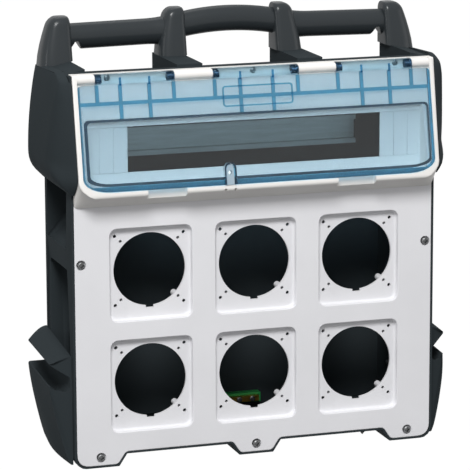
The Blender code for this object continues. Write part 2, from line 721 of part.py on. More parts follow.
def make_hook(label, sign):
    """Lower side moulding: a beak over a cradle, for winding the supply cable, keyed into the side channel."""
    name = f"{label}_cable_hook"
    root = SHELL_HALF + FIT
    tip = root + HOOK_REACH
    wall = root + CRADLE_WALL
    beak_rise = BEAK_ROOT - BEAK_TIP
    horn = HORN_TIP - HOOK_CLEARANCE
    outline = [
        (root, HOOK_CLEARANCE),
        *[(root + HOOK_REACH * (0.15 + 0.85 * t ** 0.8), HOOK_CLEARANCE + horn * t)
          for t in (0, 0.04, 0.12, 0.25, 0.45, 0.7)],
        (tip, HORN_TIP),
        (tip - HOOK_REACH * 0.38, CRADLE + (HORN_TIP - CRADLE) * 0.3),
        (tip - HOOK_REACH * 0.68, CRADLE),
        (wall, CRADLE + (HORN_TIP - CRADLE) * 0.35),
        (wall, THROAT),
        (tip, BEAK_TIP),
        *[(tip - HOOK_REACH * t, BEAK_TIP + beak_rise * sin(pi / 2 * t)) for t in (0.2, 0.45, 0.7)],
        (root, BEAK_ROOT),
    ]
    outline = outline if sign > 0 else mirrored(outline)
    hook = add_part(name, front(name, [outline], HOOK_FRONT, BODY_DEPTH), ANTHRACITE)

    # The beak falls a little towards the front
    for vert in hook.data.vertices:
        if vert.co.z > THROAT + FIT:
            vert.co.z -= BEAK_FALL * (FRONT_Y + BODY_DEPTH - vert.co.y) / BODY_DEPTH

    # The front slopes back from the panel's edge, and comes forward towards the foot
    slope = (Vector((sign, 0, 0)) + Vector((0, -1, 0)) + Vector((0, 0, HOOK_SWEEP))).normalized()
    work = bmesh.new()
    work.from_mesh(hook.data)
    bmesh.ops.connect_verts_nonplanar(work, angle_limit=radians(0.1), faces=work.faces)
    at = Vector((sign * root, FRONT_Y + HOOK_FRONT, CRADLE))
    cut = bmesh.ops.bisect_plane(work, geom=work.verts[:] + work.edges[:] + work.faces[:],
                                 plane_co=at, plane_no=slope, clear_outer=True, dist=1e-6)
    rim = [item for item in cut["geom_cut"] if isinstance(item, bmesh.types.BMEdge)]
    bmesh.ops.contextual_create(work, geom=rim)
    bmesh.ops.recalc_face_normals(work, faces=work.faces)
    work.to_mesh(hook.data)
    work.free()

    low_x, high_x = sorted((sign * (CORE_HALF + FIT), sign * (root + FIT)))
    key = ((low_x, FRONT_BAND + FIT, HOOK_CLEARANCE), (high_x, CHANNEL_BACK - FIT, HOOK_TOP))
    combine(hook, "UNION", add_cutter(f"{name}_key", boxes(f"{name}_key", [key])))
    bore_holes(hook, name, sign, hook_screw_z)


def socket_centres():
    """Centres of the socket cut-outs, as (x, z)."""
    offsets = [(i - (SOCKET_COLUMNS - 1) / 2) * SOCKET_PITCH_X for i in range(SOCKET_COLUMNS)]
    return [(x, SOCKET_CENTRE_Z + row * SOCKET_PITCH_Z / 2) for row in (1, -1) for x in offsets]


def socket_outline(centre):
    """Round cut-out with a square key notch at its foot."""
    x, z = centre
    radius = SOCKET_HOLE / 2
    swing = asin(KEY_WIDTH / 2 / radius) * 180 / pi
    low = z - radius - KEY_DEPTH
    return (
        arc(centre, radius, swing - 90, 270 - swing, SOCKET_CIRCLE)
        + [(x - KEY_WIDTH / 2, low), (x + KEY_WIDTH / 2, low)]
    )


def corners(centre, width, height):
    """The four corners of a hole pattern."""
    return [(centre[0] + i * width / 2, centre[1] + j * height / 2) for i in (-1, 1) for j in (-1, 1)]


def make_front_panel():
    """Socket panel: a plate with sunk socket trays, a sealing rib and screw spacers behind it."""
    outline = body_outline(COVER_INSET, PANEL_TOP)
    panel = add_part("front_panel", front("front_panel", [outline], 0, PANEL_THICKNESS), PANEL_GREY)
    lap = PANEL_THICKNESS / 2

    trays = []
    recesses = []
    for x, z in socket_centres():
        middle = z + RECESS_OFFSET
        low = (x - RECESS_WIDTH / 2, middle - RECESS_HEIGHT / 2)
        high = (x + RECESS_WIDTH / 2, middle + RECESS_HEIGHT / 2)
        recesses.append(rounded(low, high, RECESS_RADIUS))
        grow = PANEL_THICKNESS
        tray_low = (low[0] - grow, low[1] - grow)
        tray_high = (high[0] + grow, high[1] + grow)
        trays.append(rounded(tray_low, tray_high, RECESS_RADIUS + grow))
    floor = RECESS_DEPTH + PANEL_THICKNESS
    combine(panel, "UNION", add_cutter("socket_trays", front("socket_trays", trays, lap, floor)))

    # Rib that presses on the seal down both sides and along the bottom
    outer = CAVITY_HALF + SEAL_MARGIN + SEAL_WIDTH * 0.75
    inner = CAVITY_HALF + SEAL_MARGIN + SEAL_WIDTH * 0.25
    low = MOUTH_BOTTOM - SEAL_MARGIN - SEAL_WIDTH * 0.75
    high = PANEL_TOP - PANEL_THICKNESS
    rib = [(-outer, high), (-outer, low), (outer, low), (outer, high), (inner, high),
           (inner, low + SEAL_WIDTH / 2), (-inner, low + SEAL_WIDTH / 2), (-inner, high)]
    combine(panel, "UNION", add_cutter("panel_rib", front("panel_rib", [rib], lap, COVER_DEPTH)))
    spacers = [circle(place, SPACER_DIAMETER / 2) for place in panel_screws]
    combine(panel, "UNION", add_cutter("spacers", front("spacers", spacers, lap, SEAT_DEPTH - FIT)))
    sinks = [circle(place, SCREW_HEAD / 2 + FIT) for place in panel_screws]
    combine(panel, "DIFFERENCE", add_cutter("head_sinks", front("head_sinks", sinks, -PAST, HEAD_SINK)))
    bores = [circle(place, screw_hole, SMALL_CIRCLE) for place in panel_screws]
    mesh = front("screw_bores", bores, -PAST, SEAT_DEPTH + PAST)
    combine(panel, "DIFFERENCE", add_cutter("screw_bores", mesh))
    bosses = []
    for centre in socket_centres():
        places = corners(centre, INNER_HOLE_SPACING, INNER_HOLE_SPACING)
        bosses += [circle(place, BOSS_DIAMETER / 2, SMALL_CIRCLE) for place in places]
    boss_end = floor + BOSS_LENGTH
    combine(panel, "UNION", add_cutter("bosses", front("bosses", bosses, floor - lap, boss_end)))

    combine(panel, "DIFFERENCE", add_cutter("recesses", front("recesses", recesses, -PAST, RECESS_DEPTH)))
    cut_outs = [socket_outline(centre) for centre in socket_centres()]
    for centre in socket_centres():
        outer = corners(centre, OUTER_HOLE_SPACING_X, OUTER_HOLE_SPACING_Z)
        inner = corners(centre, INNER_HOLE_SPACING, INNER_HOLE_SPACING)
        cut_outs += [circle(place, OUTER_HOLE / 2, SMALL_CIRCLE) for place in outer]
        cut_outs += [circle(place, INNER_HOLE / 2, SMALL_CIRCLE) for place in inner]
    holes = front("socket_holes", cut_outs, -PAST, boss_end + PAST)
    combine(panel, "DIFFERENCE", add_cutter("socket_holes", holes))


def make_panel_seal():
    """Flat rubber ring between the shell's seat and the covers."""
    near = SEAT_DEPTH - FIT - SEAL_THICKNESS
    loops = []
    for reach in (SEAL_MARGIN + SEAL_WIDTH, SEAL_MARGIN):
        half = CAVITY_HALF + reach
        loops.append(rectangle((-half, MOUTH_BOTTOM - reach), (half, MOUTH_TOP + reach)))
    add_part("panel_seal", front("panel_seal", loops, near, near + SEAL_THICKNESS), SEAL_RUBBER)


def zones():
    """Stretches along X where the flap's hinge leaves reach over the top, as (start, end)."""
    return [(-ZONE_OUTER, -ZONE_INNER), (-ZONE_MIDDLE, ZONE_MIDDLE), (ZONE_INNER, ZONE_OUTER)]


def hood_bars():
    """Stretches along X where the hood's hinge bars show between the flap's leaves."""
    end = PANEL_HALF - BEZEL / 3
    return [(-end, -ZONE_OUTER), (-ZONE_INNER, -ZONE_MIDDLE), (ZONE_MIDDLE, ZONE_INNER), (ZONE_OUTER, end)]


def along_axis(name, profile, spans):
    """Solids in the hinge frame: a profile (up the face, out of it) run along stretches of X."""
    return joined(name, [extrude(name, [profile], SIDE_FACING, start, end) for start, end in spans])


def joined(name, meshes):
    """One mesh of several separate bodies."""
    work = bmesh.new()
    for mesh in meshes:
        work.from_mesh(mesh)
        bpy.data.meshes.remove(mesh)
    mesh = bpy.data.meshes.new(name)
    work.to_mesh(mesh)
    work.free()
    return mesh


def flap_outline(side_inset, bottom_inset, high, top_corner):
    """Outline of the flap in the hinge frame, drawn in at its sides and bottom, with long lower corners."""
    lower = FLAP_CORNER - bottom_inset
    stretch = (FLAP_CORNER * CORNER_STRETCH - side_inset) / lower
    half = FLAP_HALF - side_inset
    low = (-half, FLAP_BOTTOM + bottom_inset)
    return rounded(low, (half, high), lower, top_corner, stretch, LONG_CORNER_STEPS)


def make_hood():
    """Hood over the module row: a sloping frame with a chin, a recess for the flap and half-round hinge bars."""
    lip_z = CHIN_Z + LIP_RISE
    chin = (-FIT, CHIN_Z)
    lip = (face_depth(lip_z), lip_z)
    brow = (FACE_TOP_DEPTH, BODY_HEIGHT)
    profile = [
        chin,
        *fillet(chin, lip, brow, LIP_RADIUS),
        *fillet(lip, brow, (HOOD_BACK, BODY_HEIGHT), LIP_RADIUS / 2),
        (HOOD_BACK, BODY_HEIGHT),
        (HOOD_BACK, BODY_HEIGHT - TOP_BAR),
        (COVER_DEPTH, BODY_HEIGHT - TOP_BAR),
        (COVER_DEPTH, PANEL_TOP + FIT),
        (-FIT, PANEL_TOP + FIT),
    ]
    hood = add_part("hood", side("hood", [profile], -PANEL_HALF - PAST, PANEL_HALF + PAST), HOOD_WHITE)

    # Long rounded lower corners at the lip, which run out to square ones at the panel
    corner_width = FLAP_CORNER * CORNER_STRETCH + BEZEL
    corner_height = FLAP_CORNER + FLAP_BOTTOM_RISE - LIP_RISE
    lip_depth = lip[0]
    rings = []
    shares = {2 * lip_depth: 1, lip_depth * 0.8: 1, lip_depth * 0.4: 0.5, 0: 0, BODY_DEPTH: 0}
    for depth, share in shares.items():
        width = LIP_RADIUS + (corner_width - LIP_RADIUS) * share
        height = LIP_RADIUS + (corner_height - LIP_RADIUS) * share
        low = CHIN_Z - FLAP_GAP + LIP_RISE * min(max(depth / lip_depth, 0), 1)
        loop = rounded((-PANEL_HALF, low), (PANEL_HALF, BODY_HEIGHT + PAST), height, LIP_RADIUS,
                       width / height, LONG_CORNER_STEPS)
        rings.append([(x, depth, z) for x, z in loop])
    combine(hood, "INTERSECT", add_cutter("hood_shape", loft("hood_shape", rings)))

    # Recess that the flap closes into, and the window behind it
    recess = flap_outline(-FLAP_GAP, -FLAP_GAP, PAST * 4, FLAP_TOP_CORNER)
    mesh = extrude("flap_recess", [recess], TOP_FACING, 0, PAST * 3)
    combine(hood, "DIFFERENCE", add_cutter("flap_recess", mesh, HINGE_FRAME))
    open_half = PANEL_HALF - OPENING_MARGIN
    low = CHIN_Z + OPENING_BOTTOM_RISE
    window = ((-open_half, -PANEL_HALF, low), (open_half, BODY_DEPTH, low + OPENING_HEIGHT))
    combine(hood, "DIFFERENCE", add_cutter("hood_window", boxes("hood_window", [window])))
    lap = PLATE_LAP + FIT
    lapped = open_half + lap
    rebate = ((-lapped, PLATE_DEPTH, low - lap), (lapped, BODY_DEPTH, low + OPENING_HEIGHT + lap))
    combine(hood, "DIFFERENCE", add_cutter("plate_rebate", boxes("plate_rebate", [rebate])))

    # Hinge: round bars that carry the pins, and pockets that clear the flap's leaves
    bars = along_axis("hinge_bars", circle((0, 0), HINGE_INSET - FIT), hood_bars())
    combine(hood, "UNION", add_cutter("hinge_bars", bars, HINGE_FRAME))
    pocket = circle((0, 0), HINGE_INSET + KNUCKLE_CLEARANCE, SOCKET_CIRCLE // 2)
    gaps = [(start - FLAP_GAP, end + FLAP_GAP) for start, end in zones()]
    pockets = along_axis("hinge_pockets", pocket, gaps)
    combine(hood, "DIFFERENCE", add_cutter("hinge_pockets", pockets, HINGE_FRAME))
    bore = circle((0, 0), PIN_BORE, SMALL_CIRCLE)
    bores = extrude("pin_bores", [bore], SIDE_FACING, -PANEL_HALF + BEZEL / 2, PANEL_HALF - BEZEL / 2)
    combine(hood, "DIFFERENCE", add_cutter("pin_bores", bores, HINGE_FRAME))

    # Finger grips under the flap's edge, and two small holes for a sealing wire
    grips = []
    for start in (GRIP_START, -GRIP_START - GRIP_WIDTH):
        grips.append(rectangle((start, FLAP_BOTTOM - PAST * 3), (start + GRIP_WIDTH, FLAP_BOTTOM + FLAP_GAP)))
    mesh = extrude("finger_grips", grips, TOP_FACING, HINGE_INSET - GRIP_DEPTH, PAST * 3)
    combine(hood, "DIFFERENCE", add_cutter("finger_grips", mesh, HINGE_FRAME))
    wires = []
    for shift in (-SEAL_HOLE_PITCH / 2, SEAL_HOLE_PITCH / 2):
        wires.append(circle((LOCK_X + shift, CHIN_Z + SEAL_HOLE_RISE), SEAL_HOLE / 2, SMALL_CIRCLE))
    depth = face_depth(CHIN_Z + SEAL_HOLE_RISE)
    holes = front("wire_holes", wires, depth - PAST, depth + PAST)
    combine(hood, "DIFFERENCE", add_cutter("wire_holes", holes))

    # Screws through the back of the hinge pockets, with sunk heads
    sinks = [circle(place, SMALL_HEAD / 2 + FIT) for place in hood_screws]
    bores = [circle(place, screw_hole, SMALL_CIRCLE) for place in hood_screws]
    sink = front("hood_sinks", sinks, AXIS_DEPTH, HOOD_BACK - SMALL_HEAD_HEIGHT)
    combine(hood, "DIFFERENCE", add_cutter("hood_sinks", sink))
    bore = front("hood_bores", bores, AXIS_DEPTH, HOOD_BACK + PAST)
    combine(hood, "DIFFERENCE", add_cutter("hood_bores", bore))


def make_hinge_pins():
    """Steel pins fixed in the hood's bars, reaching into the flap's knuckles on both sides of each bar."""
    end = PANEL_HALF - BEZEL / 2 - FIT
    reach = KNUCKLE_LENGTH - FIT
    spans = [
        (-end, -ZONE_OUTER + reach),
        (-ZONE_INNER - reach, -ZONE_MIDDLE + reach),
        (ZONE_MIDDLE - reach, ZONE_INNER + reach),
        (ZONE_OUTER - reach, end),
    ]
    for i, (start, stop) in enumerate(spans, 1):
        section = circle((0, 0), PIN_DIAMETER / 2, SMALL_CIRCLE)
        mesh = extrude(f"hinge_pin_{i}", [section], SIDE_FACING, start, stop)
        add_part(f"hinge_pin_{i}", mesh, SCREW_STEEL, HINGE_FRAME)


def make_flap():
    """Clear flap: a skirted plate with a raised window, hinge leaves, ribs, a label frame and a lock slot."""
    outline = flap_outline(0, 0, FLAP_TOP, FLAP_TOP_CORNER)
    block = extrude("flap", [outline], TOP_FACING, PLATE_BACK - SKIRT_REACH, HINGE_INSET)
    flap = add_part("flap", block, CLEAR_BLUE, HINGE_FRAME)
    lap = FLAP_THICKNESS / 2

    def add(name, mesh):
        combine(flap, "UNION", add_cutter(name, mesh, HINGE_FRAME))

    def remove(name, mesh):
        combine(flap, "DIFFERENCE", add_cutter(name, mesh, HINGE_FRAME))

    # Hollow back, which leaves a skirt down both sides and along the bottom
    back = flap_outline(SKIRT_WIDTH, SKIRT_WIDTH, PAST, FLAP_TOP_CORNER)
    remove("flap_back", extrude("flap_back", [back], TOP_FACING, -PAST, PLATE_BACK))

    # Raised window, hollow behind
    high = FLAP_BOTTOM + WINDOW_BOTTOM + WINDOW_HEIGHT
    wall = WINDOW_WALL
    hump = flap_outline(WINDOW_MARGIN, WINDOW_BOTTOM, high, WINDOW_RADIUS)
    add("window_hump", extrude("window_hump", [hump], TOP_FACING, HINGE_INSET - lap, HINGE_INSET + WINDOW_RISE))
    hollow = flap_outline(WINDOW_MARGIN + wall, WINDOW_BOTTOM + wall, high - wall, WINDOW_RADIUS - wall)
    remove("window_hollow", extrude("window_hollow", [hollow], TOP_FACING, 0, HINGE_INSET + WINDOW_RISE - wall))

    # Hinge leaves: a flat tab that turns over the axis, with a bored knuckle at each end
    over = arc((0, 0), HINGE_INSET - FIT, 90, 0, CORNER_STEPS)
    under = arc((0, 0), PLATE_BACK + FIT, 0, 90, CORNER_STEPS)
    leaf = [(FLAP_TOP - lap, HINGE_INSET - FIT), *over, *under, (FLAP_TOP - lap, PLATE_BACK + FIT)]
    add("hinge_leaves", along_axis("hinge_leaves", leaf, zones()))
    knuckles = []
    for start, end in zones():
        knuckles += [(start + FIT, start + KNUCKLE_LENGTH), (end - KNUCKLE_LENGTH, end - FIT)]
    add("knuckles", along_axis("knuckles", circle((0, 0), HINGE_INSET - 2 * FIT), knuckles))
    bore = circle((0, 0), PIN_BORE, SMALL_CIRCLE)
    remove("knuckle_bores", extrude("knuckle_bores", [bore], SIDE_FACING, -FLAP_HALF, FLAP_HALF))

    # Ribs behind the upper part: one along the crease, the others up to the leaves
    crease = FLAP_TOP - CREASE_DROP
    behind = PLATE_BACK - RIB_REACH
    rib_end = FLAP_HALF - SKIRT_WIDTH / 2
    long_rib = rectangle((-rib_end, crease - RIB_WIDTH / 2), (rib_end, crease + RIB_WIDTH / 2))
    add("crease_rib", extrude("crease_rib", [long_rib], TOP_FACING, behind, PLATE_BACK + lap))
    upright = []
    for place in RIB_PLACES:
        for x in (-place, place):
            upright.append(rectangle((x - RIB_WIDTH / 2, high - wall / 2), (x + RIB_WIDTH / 2, FLAP_TOP - FIT)))
    for start, end in zones():
        for x in (start + FIT, end - RIB_WIDTH - FIT):
            upright.append(rectangle((x, crease), (x + RIB_WIDTH, FLAP_TOP - FIT)))
    add("upright_ribs", extrude("upright_ribs", upright, TOP_FACING, behind + FIT, PLATE_BACK + lap))

    # Raised frame for a label, left bare
    middle = FLAP_TOP - LABEL_DROP + LABEL_HEIGHT / 2
    frame = []
    for draw_in in (0, LABEL_LINE):
        corner = (LABEL_WIDTH / 2 - draw_in, LABEL_HEIGHT / 2 - draw_in)
        low = (-corner[0], middle - corner[1])
        frame.append(rounded(low, (corner[0], middle + corner[1]), RIB_WIDTH * 2 - draw_in))
    add("label_frame", extrude("label_frame", frame, TOP_FACING, HINGE_INSET - lap, HINGE_INSET + LABEL_RAISE))

    # Slot for the lock eyelet, with a raised rim
    slot_half = LOCK_SLOT_WIDTH / 2
    slot_top = FLAP_BOTTOM + LOCK_SLOT_HEIGHT
    rim_half = slot_half + LOCK_RIM
    rim = (
        [(LOCK_X - rim_half, FLAP_BOTTOM + FIT), (LOCK_X + rim_half, FLAP_BOTTOM + FIT)]
        + arc((LOCK_X, slot_top - slot_half), rim_half, 0, 180, CIRCLE // 2)
    )
    rim_front = HINGE_INSET + WINDOW_RISE + LOCK_RIM_RAISE
    add("lock_rim", extrude("lock_rim", [rim], TOP_FACING, PLATE_BACK + FIT, rim_front))
    slot = (
        [(LOCK_X - slot_half, FLAP_BOTTOM - PAST), (LOCK_X + slot_half, FLAP_BOTTOM - PAST)]
        + arc((LOCK_X, slot_top - slot_half), slot_half, 0, 180, CIRCLE // 2)
    )
    remove("lock_slot", extrude("lock_slot", [slot], TOP_FACING, -PAST, PAST * 3))


def make_lock_eyelet():
    """White eyelet on the hood's lower ledge, standing through the flap's slot, bored for a padlock or seal."""
    half = LOCK_SLOT_WIDTH / 2 - EYELET_GAP
    rise = FLAP_BOTTOM + LOCK_SLOT_HEIGHT - EYELET_GAP - half
    low = FLAP_BOTTOM - FLAP_GAP + FIT
    tongue = [(LOCK_X - half, low), (LOCK_X + half, low)] + arc((LOCK_X, rise), half, 0, 180, CIRCLE // 2)
    hole = circle((LOCK_X, rise - half), EYELET_HOLE / 2)
    mesh = extrude("lock_eyelet", [tongue, hole], TOP_FACING, FIT, FIT + EYELET_THICKNESS)
    add_part("lock_eyelet", mesh, HOOD_WHITE, HINGE_FRAME)


def make_module_row():
    """Cover plate with snap-off blanking strips, and the rail that carries the modules on two brackets."""
    half = PANEL_HALF - OPENING_MARGIN + PLATE_LAP
    low = CHIN_Z + OPENING_BOTTOM_RISE - PLATE_LAP
    high = low + OPENING_HEIGHT + 2 * PLATE_LAP
    near = PLATE_DEPTH + FIT
    strip_end = SLOT_WIDTH / 2 + STRIP_WIDTH
    slot_low = SLOT_Z - SLOT_HEIGHT / 2
    slot_high = SLOT_Z + SLOT_HEIGHT / 2
    loops = [rectangle((-half, low), (half, high)),
             rectangle((-strip_end - FIT, slot_low - FIT), (strip_end + FIT, slot_high + FIT))]
    add_part("module_plate", front("module_plate", loops, near, near + PLATE_THICKNESS), HOOD_WHITE)

    for sign, label in ((-1, "left"), (1, "right")):
        start, end = sorted((sign * SLOT_WIDTH / 2, sign * strip_end))
        outline = rectangle((start, slot_low), (end, slot_high))
        name = f"blank_strip_{label}"
        strip = add_part(name, front(name, [outline], near, near + STRIP_THICKNESS), HOOD_WHITE)
        scores = []
        for i in range(1, int(STRIP_WIDTH / MODULE_PITCH) + 1):
            x = sign * (SLOT_WIDTH / 2 + i * MODULE_PITCH)
            if SLOT_WIDTH / 2 + i * MODULE_PITCH < strip_end - SCORE_WIDTH:
                low = (x - SCORE_WIDTH / 2, slot_low - PAST)
                scores.append(rectangle(low, (x + SCORE_WIDTH / 2, slot_high + PAST)))
        grooves = front(f"{name}_scores", scores, near - PAST, near + SCORE_DEPTH)
        combine(strip, "DIFFERENCE", add_cutter(f"{name}_scores", grooves))

    # Top-hat rail: lips at the front, the hat standing back to the brackets
    lip = RAIL_HEIGHT / 2
    hat = RAIL_HAT / 2
    sheet = RAIL_SHEET
    back = RAIL_DEPTH + RAIL_RISE
    section = [
        (RAIL_DEPTH, -lip), (RAIL_DEPTH + sheet, -lip), (RAIL_DEPTH + sheet, -hat), (back, -hat), (back, hat),
        (RAIL_DEPTH + sheet, hat), (RAIL_DEPTH + sheet, lip), (RAIL_DEPTH, lip), (RAIL_DEPTH, hat - sheet),
        (back - sheet, hat - sheet), (back - sheet, sheet - hat), (RAIL_DEPTH, sheet - hat),
    ]
    section = [(d, SLOT_Z + z) for d, z in section]
    rail = add_part("din_rail", side("din_rail", [section], -RAIL_LENGTH / 2, RAIL_LENGTH / 2), RAIL_ZINC)
    places = [(sign * BRACKET_X, SLOT_Z) for sign in (-1, 1)]
    bores = [circle(place, screw_hole, SMALL_CIRCLE) for place in places]
    combine(rail, "DIFFERENCE", add_cutter("rail_bores", front("rail_bores", bores, 0, back + PAST)))

    # Z-shaped sheet brackets from the back wall's bosses to the rail
    start = back + FIT
    stop = BACK_WALL - WALL_BOSS_LENGTH - FIT
    wide = BRACKET_WIDTH / 2
    sheet = BRACKET_SHEET
    for sign, label in ((-1, "left"), (1, "right")):
        bend = BRACKET_X + wide
        foot = bend + BRACKET_FOOT
        outline = [
            (BRACKET_X - wide, start), (bend, start), (bend, stop - sheet), (foot, stop - sheet), (foot, stop),
            (bend - sheet, stop), (bend - sheet, start + sheet), (BRACKET_X - wide, start + sheet),
        ]
        outline = outline if sign > 0 else mirrored(outline)
        name = f"rail_bracket_{label}"
        reach = BRACKET_HEIGHT / 2
        bracket = add_part(name, top(name, [outline], SLOT_Z - reach, SLOT_Z + reach), RAIL_ZINC)
        bores = [circle((sign * BRACKET_X, SLOT_Z), screw_hole, SMALL_CIRCLE),
                 circle((sign * bracket_boss_x, SLOT_Z), screw_hole, SMALL_CIRCLE)]
        cut = front(f"{name}_bores", bores, 0, BODY_DEPTH)
        combine(bracket, "DIFFERENCE", add_cutter(f"{name}_bores", cut))
        head = (sign * BRACKET_X, start + sheet + FIT, SLOT_Z)
        length = FIT + sheet + FIT + RAIL_SHEET
        screw(f"rail_screw_{label}", head, (0, -1, 0), SMALL_HEAD, SMALL_HEAD_HEIGHT, length)
        head = (sign * bracket_boss_x, stop - sheet - FIT, SLOT_Z)
        length = sheet + WALL_BOSS_LENGTH - WALL / 2
        screw(f"bracket_screw_{label}", head, (0, 1, 0), SMALL_HEAD, SMALL_HEAD_HEIGHT, length)


def make_earth_terminal():
    """Green terminal base on the back wall with a brass bar and its clamp screws."""
    base_near = BACK_WALL - FIT - TERMINAL_THICKNESS
    base = (
        (TERMINAL_X - TERMINAL_LENGTH / 2, base_near, TERMINAL_Z - TERMINAL_HEIGHT / 2),
        (TERMINAL_X + TERMINAL_LENGTH / 2, BACK_WALL - FIT, TERMINAL_Z + TERMINAL_HEIGHT / 2),
    )
    add_part("earth_terminal_base", boxes("earth_terminal_base", [base]), EARTH_GREEN)
    bar_far = base_near - FIT
    bar_near = bar_far - BUS_THICKNESS
    bar = (
        (TERMINAL_X - BUS_LENGTH / 2, bar_near, TERMINAL_Z - BUS_HEIGHT / 2),
        (TERMINAL_X + BUS_LENGTH / 2, bar_far, TERMINAL_Z + BUS_HEIGHT / 2),
    )
    bus = add_part("earth_bus_bar", boxes("earth_bus_bar", [bar]), BUS_BRASS)
    first = TERMINAL_X - (BUS_SCREWS - 1) / 2 * BUS_SCREW_PITCH
    places = [(first + i * BUS_SCREW_PITCH, TERMINAL_Z) for i in range(BUS_SCREWS)]
    bores = [circle(place, screw_hole, SMALL_CIRCLE) for place in places]
    combine(bus, "DIFFERENCE", add_cutter("bus_bores", front("bus_bores", bores, 0, BODY_DEPTH)))
    for i, (x, z) in enumerate(places, 1):
        spot = (x, bar_near - FIT, z)
        screw(f"earth_screw_{i}", spot, (0, 1, 0), SMALL_HEAD, SMALL_HEAD_HEIGHT, BUS_THICKNESS)


def make_drain_plug():
    """Rubber drain plug pushed through the floor, its pointed end under the box."""
    stem = DRAIN_STEM / 2
    flange = DRAIN_FLANGE / 2
    under = FOOT_HEIGHT - FIT
    inside = FLOOR_Z + FIT
    lip = stem * 1.5
    profile = [
        (0, inside + stem),
        (lip, inside + stem / 2),
        (lip, inside),
        (stem, inside),
        (stem, under),
        (flange, under),
        (flange, under - DRAIN_TIP * 0.3),
        (0, under - DRAIN_TIP),
    ]
    turned("drain_plug", profile, SEAL_RUBBER, Matrix.Translation((DRAIN_X, FRONT_Y + DRAIN_DEPTH, 0)))


def post_mesh(name, inner, outer_base, outer_top, height, sign, fall=0):
    """Tapered, rounded handle post with an upright inner face, leaning back at the front."""
    foot = RIDGE_Z + FIT
    rear = BODY_DEPTH
    work = bmesh.new()
    bmesh.ops.create_cube(work, size=2.0)
    for vert in work.verts:
        is_outer, is_rear, is_top = (value > 0 for value in vert.co)
        outer = outer_top if is_top else outer_base
        near = POST_FRONT + (POST_LEAN if is_top else 0)
        base = foot - (fall if is_outer else 0)
        x = sign * (outer if is_outer else inner)
        vert.co = (x, FRONT_Y + (rear if is_rear else near), foot + height if is_top else base)
    bmesh.ops.recalc_face_normals(work, faces=work.faces)
    rounds = [edge for edge in work.edges if max(vert.co.z for vert in edge.verts) > foot + height / 2]
    bmesh.ops.bevel(work, geom=rounds, offset=POST_ROUND, segments=3, profile=0.5, affect="EDGES", material=-1)
    mesh = bpy.data.meshes.new(name)
    work.to_mesh(mesh)
    work.free()
    return mesh


def grip_mesh(name, path):
    """Oval bar along a path of (x, z, swell): a curve with a round bevel, flattened in depth."""
    curve = bpy.data.curves.new(name, "CURVE")
    curve.dimensions = "3D"
    curve.bevel_depth = GRIP_HEIGHT / 2
    curve.bevel_resolution = CIRCLE // 2 - 2
    curve.use_fill_caps = True
    spline = curve.splines.new("POLY")
    spline.points.add(len(path) - 1)
    for point, (x, z, swell) in zip(spline.points, path):
        point.co = (x, 0, z, 1)
        point.radius = swell
    holder = bpy.data.objects.new(name, curve)
    mesh = bpy.data.meshes.new_from_object(holder)
    bpy.data.objects.remove(holder)
    flatten = Matrix.Diagonal((1, GRIP_THICKNESS / GRIP_HEIGHT, 1, 1))
    mesh.transform(Matrix.Translation((0, FRONT_Y + GRIP_CENTRE, 0)) @ flatten)
    return closed(mesh)


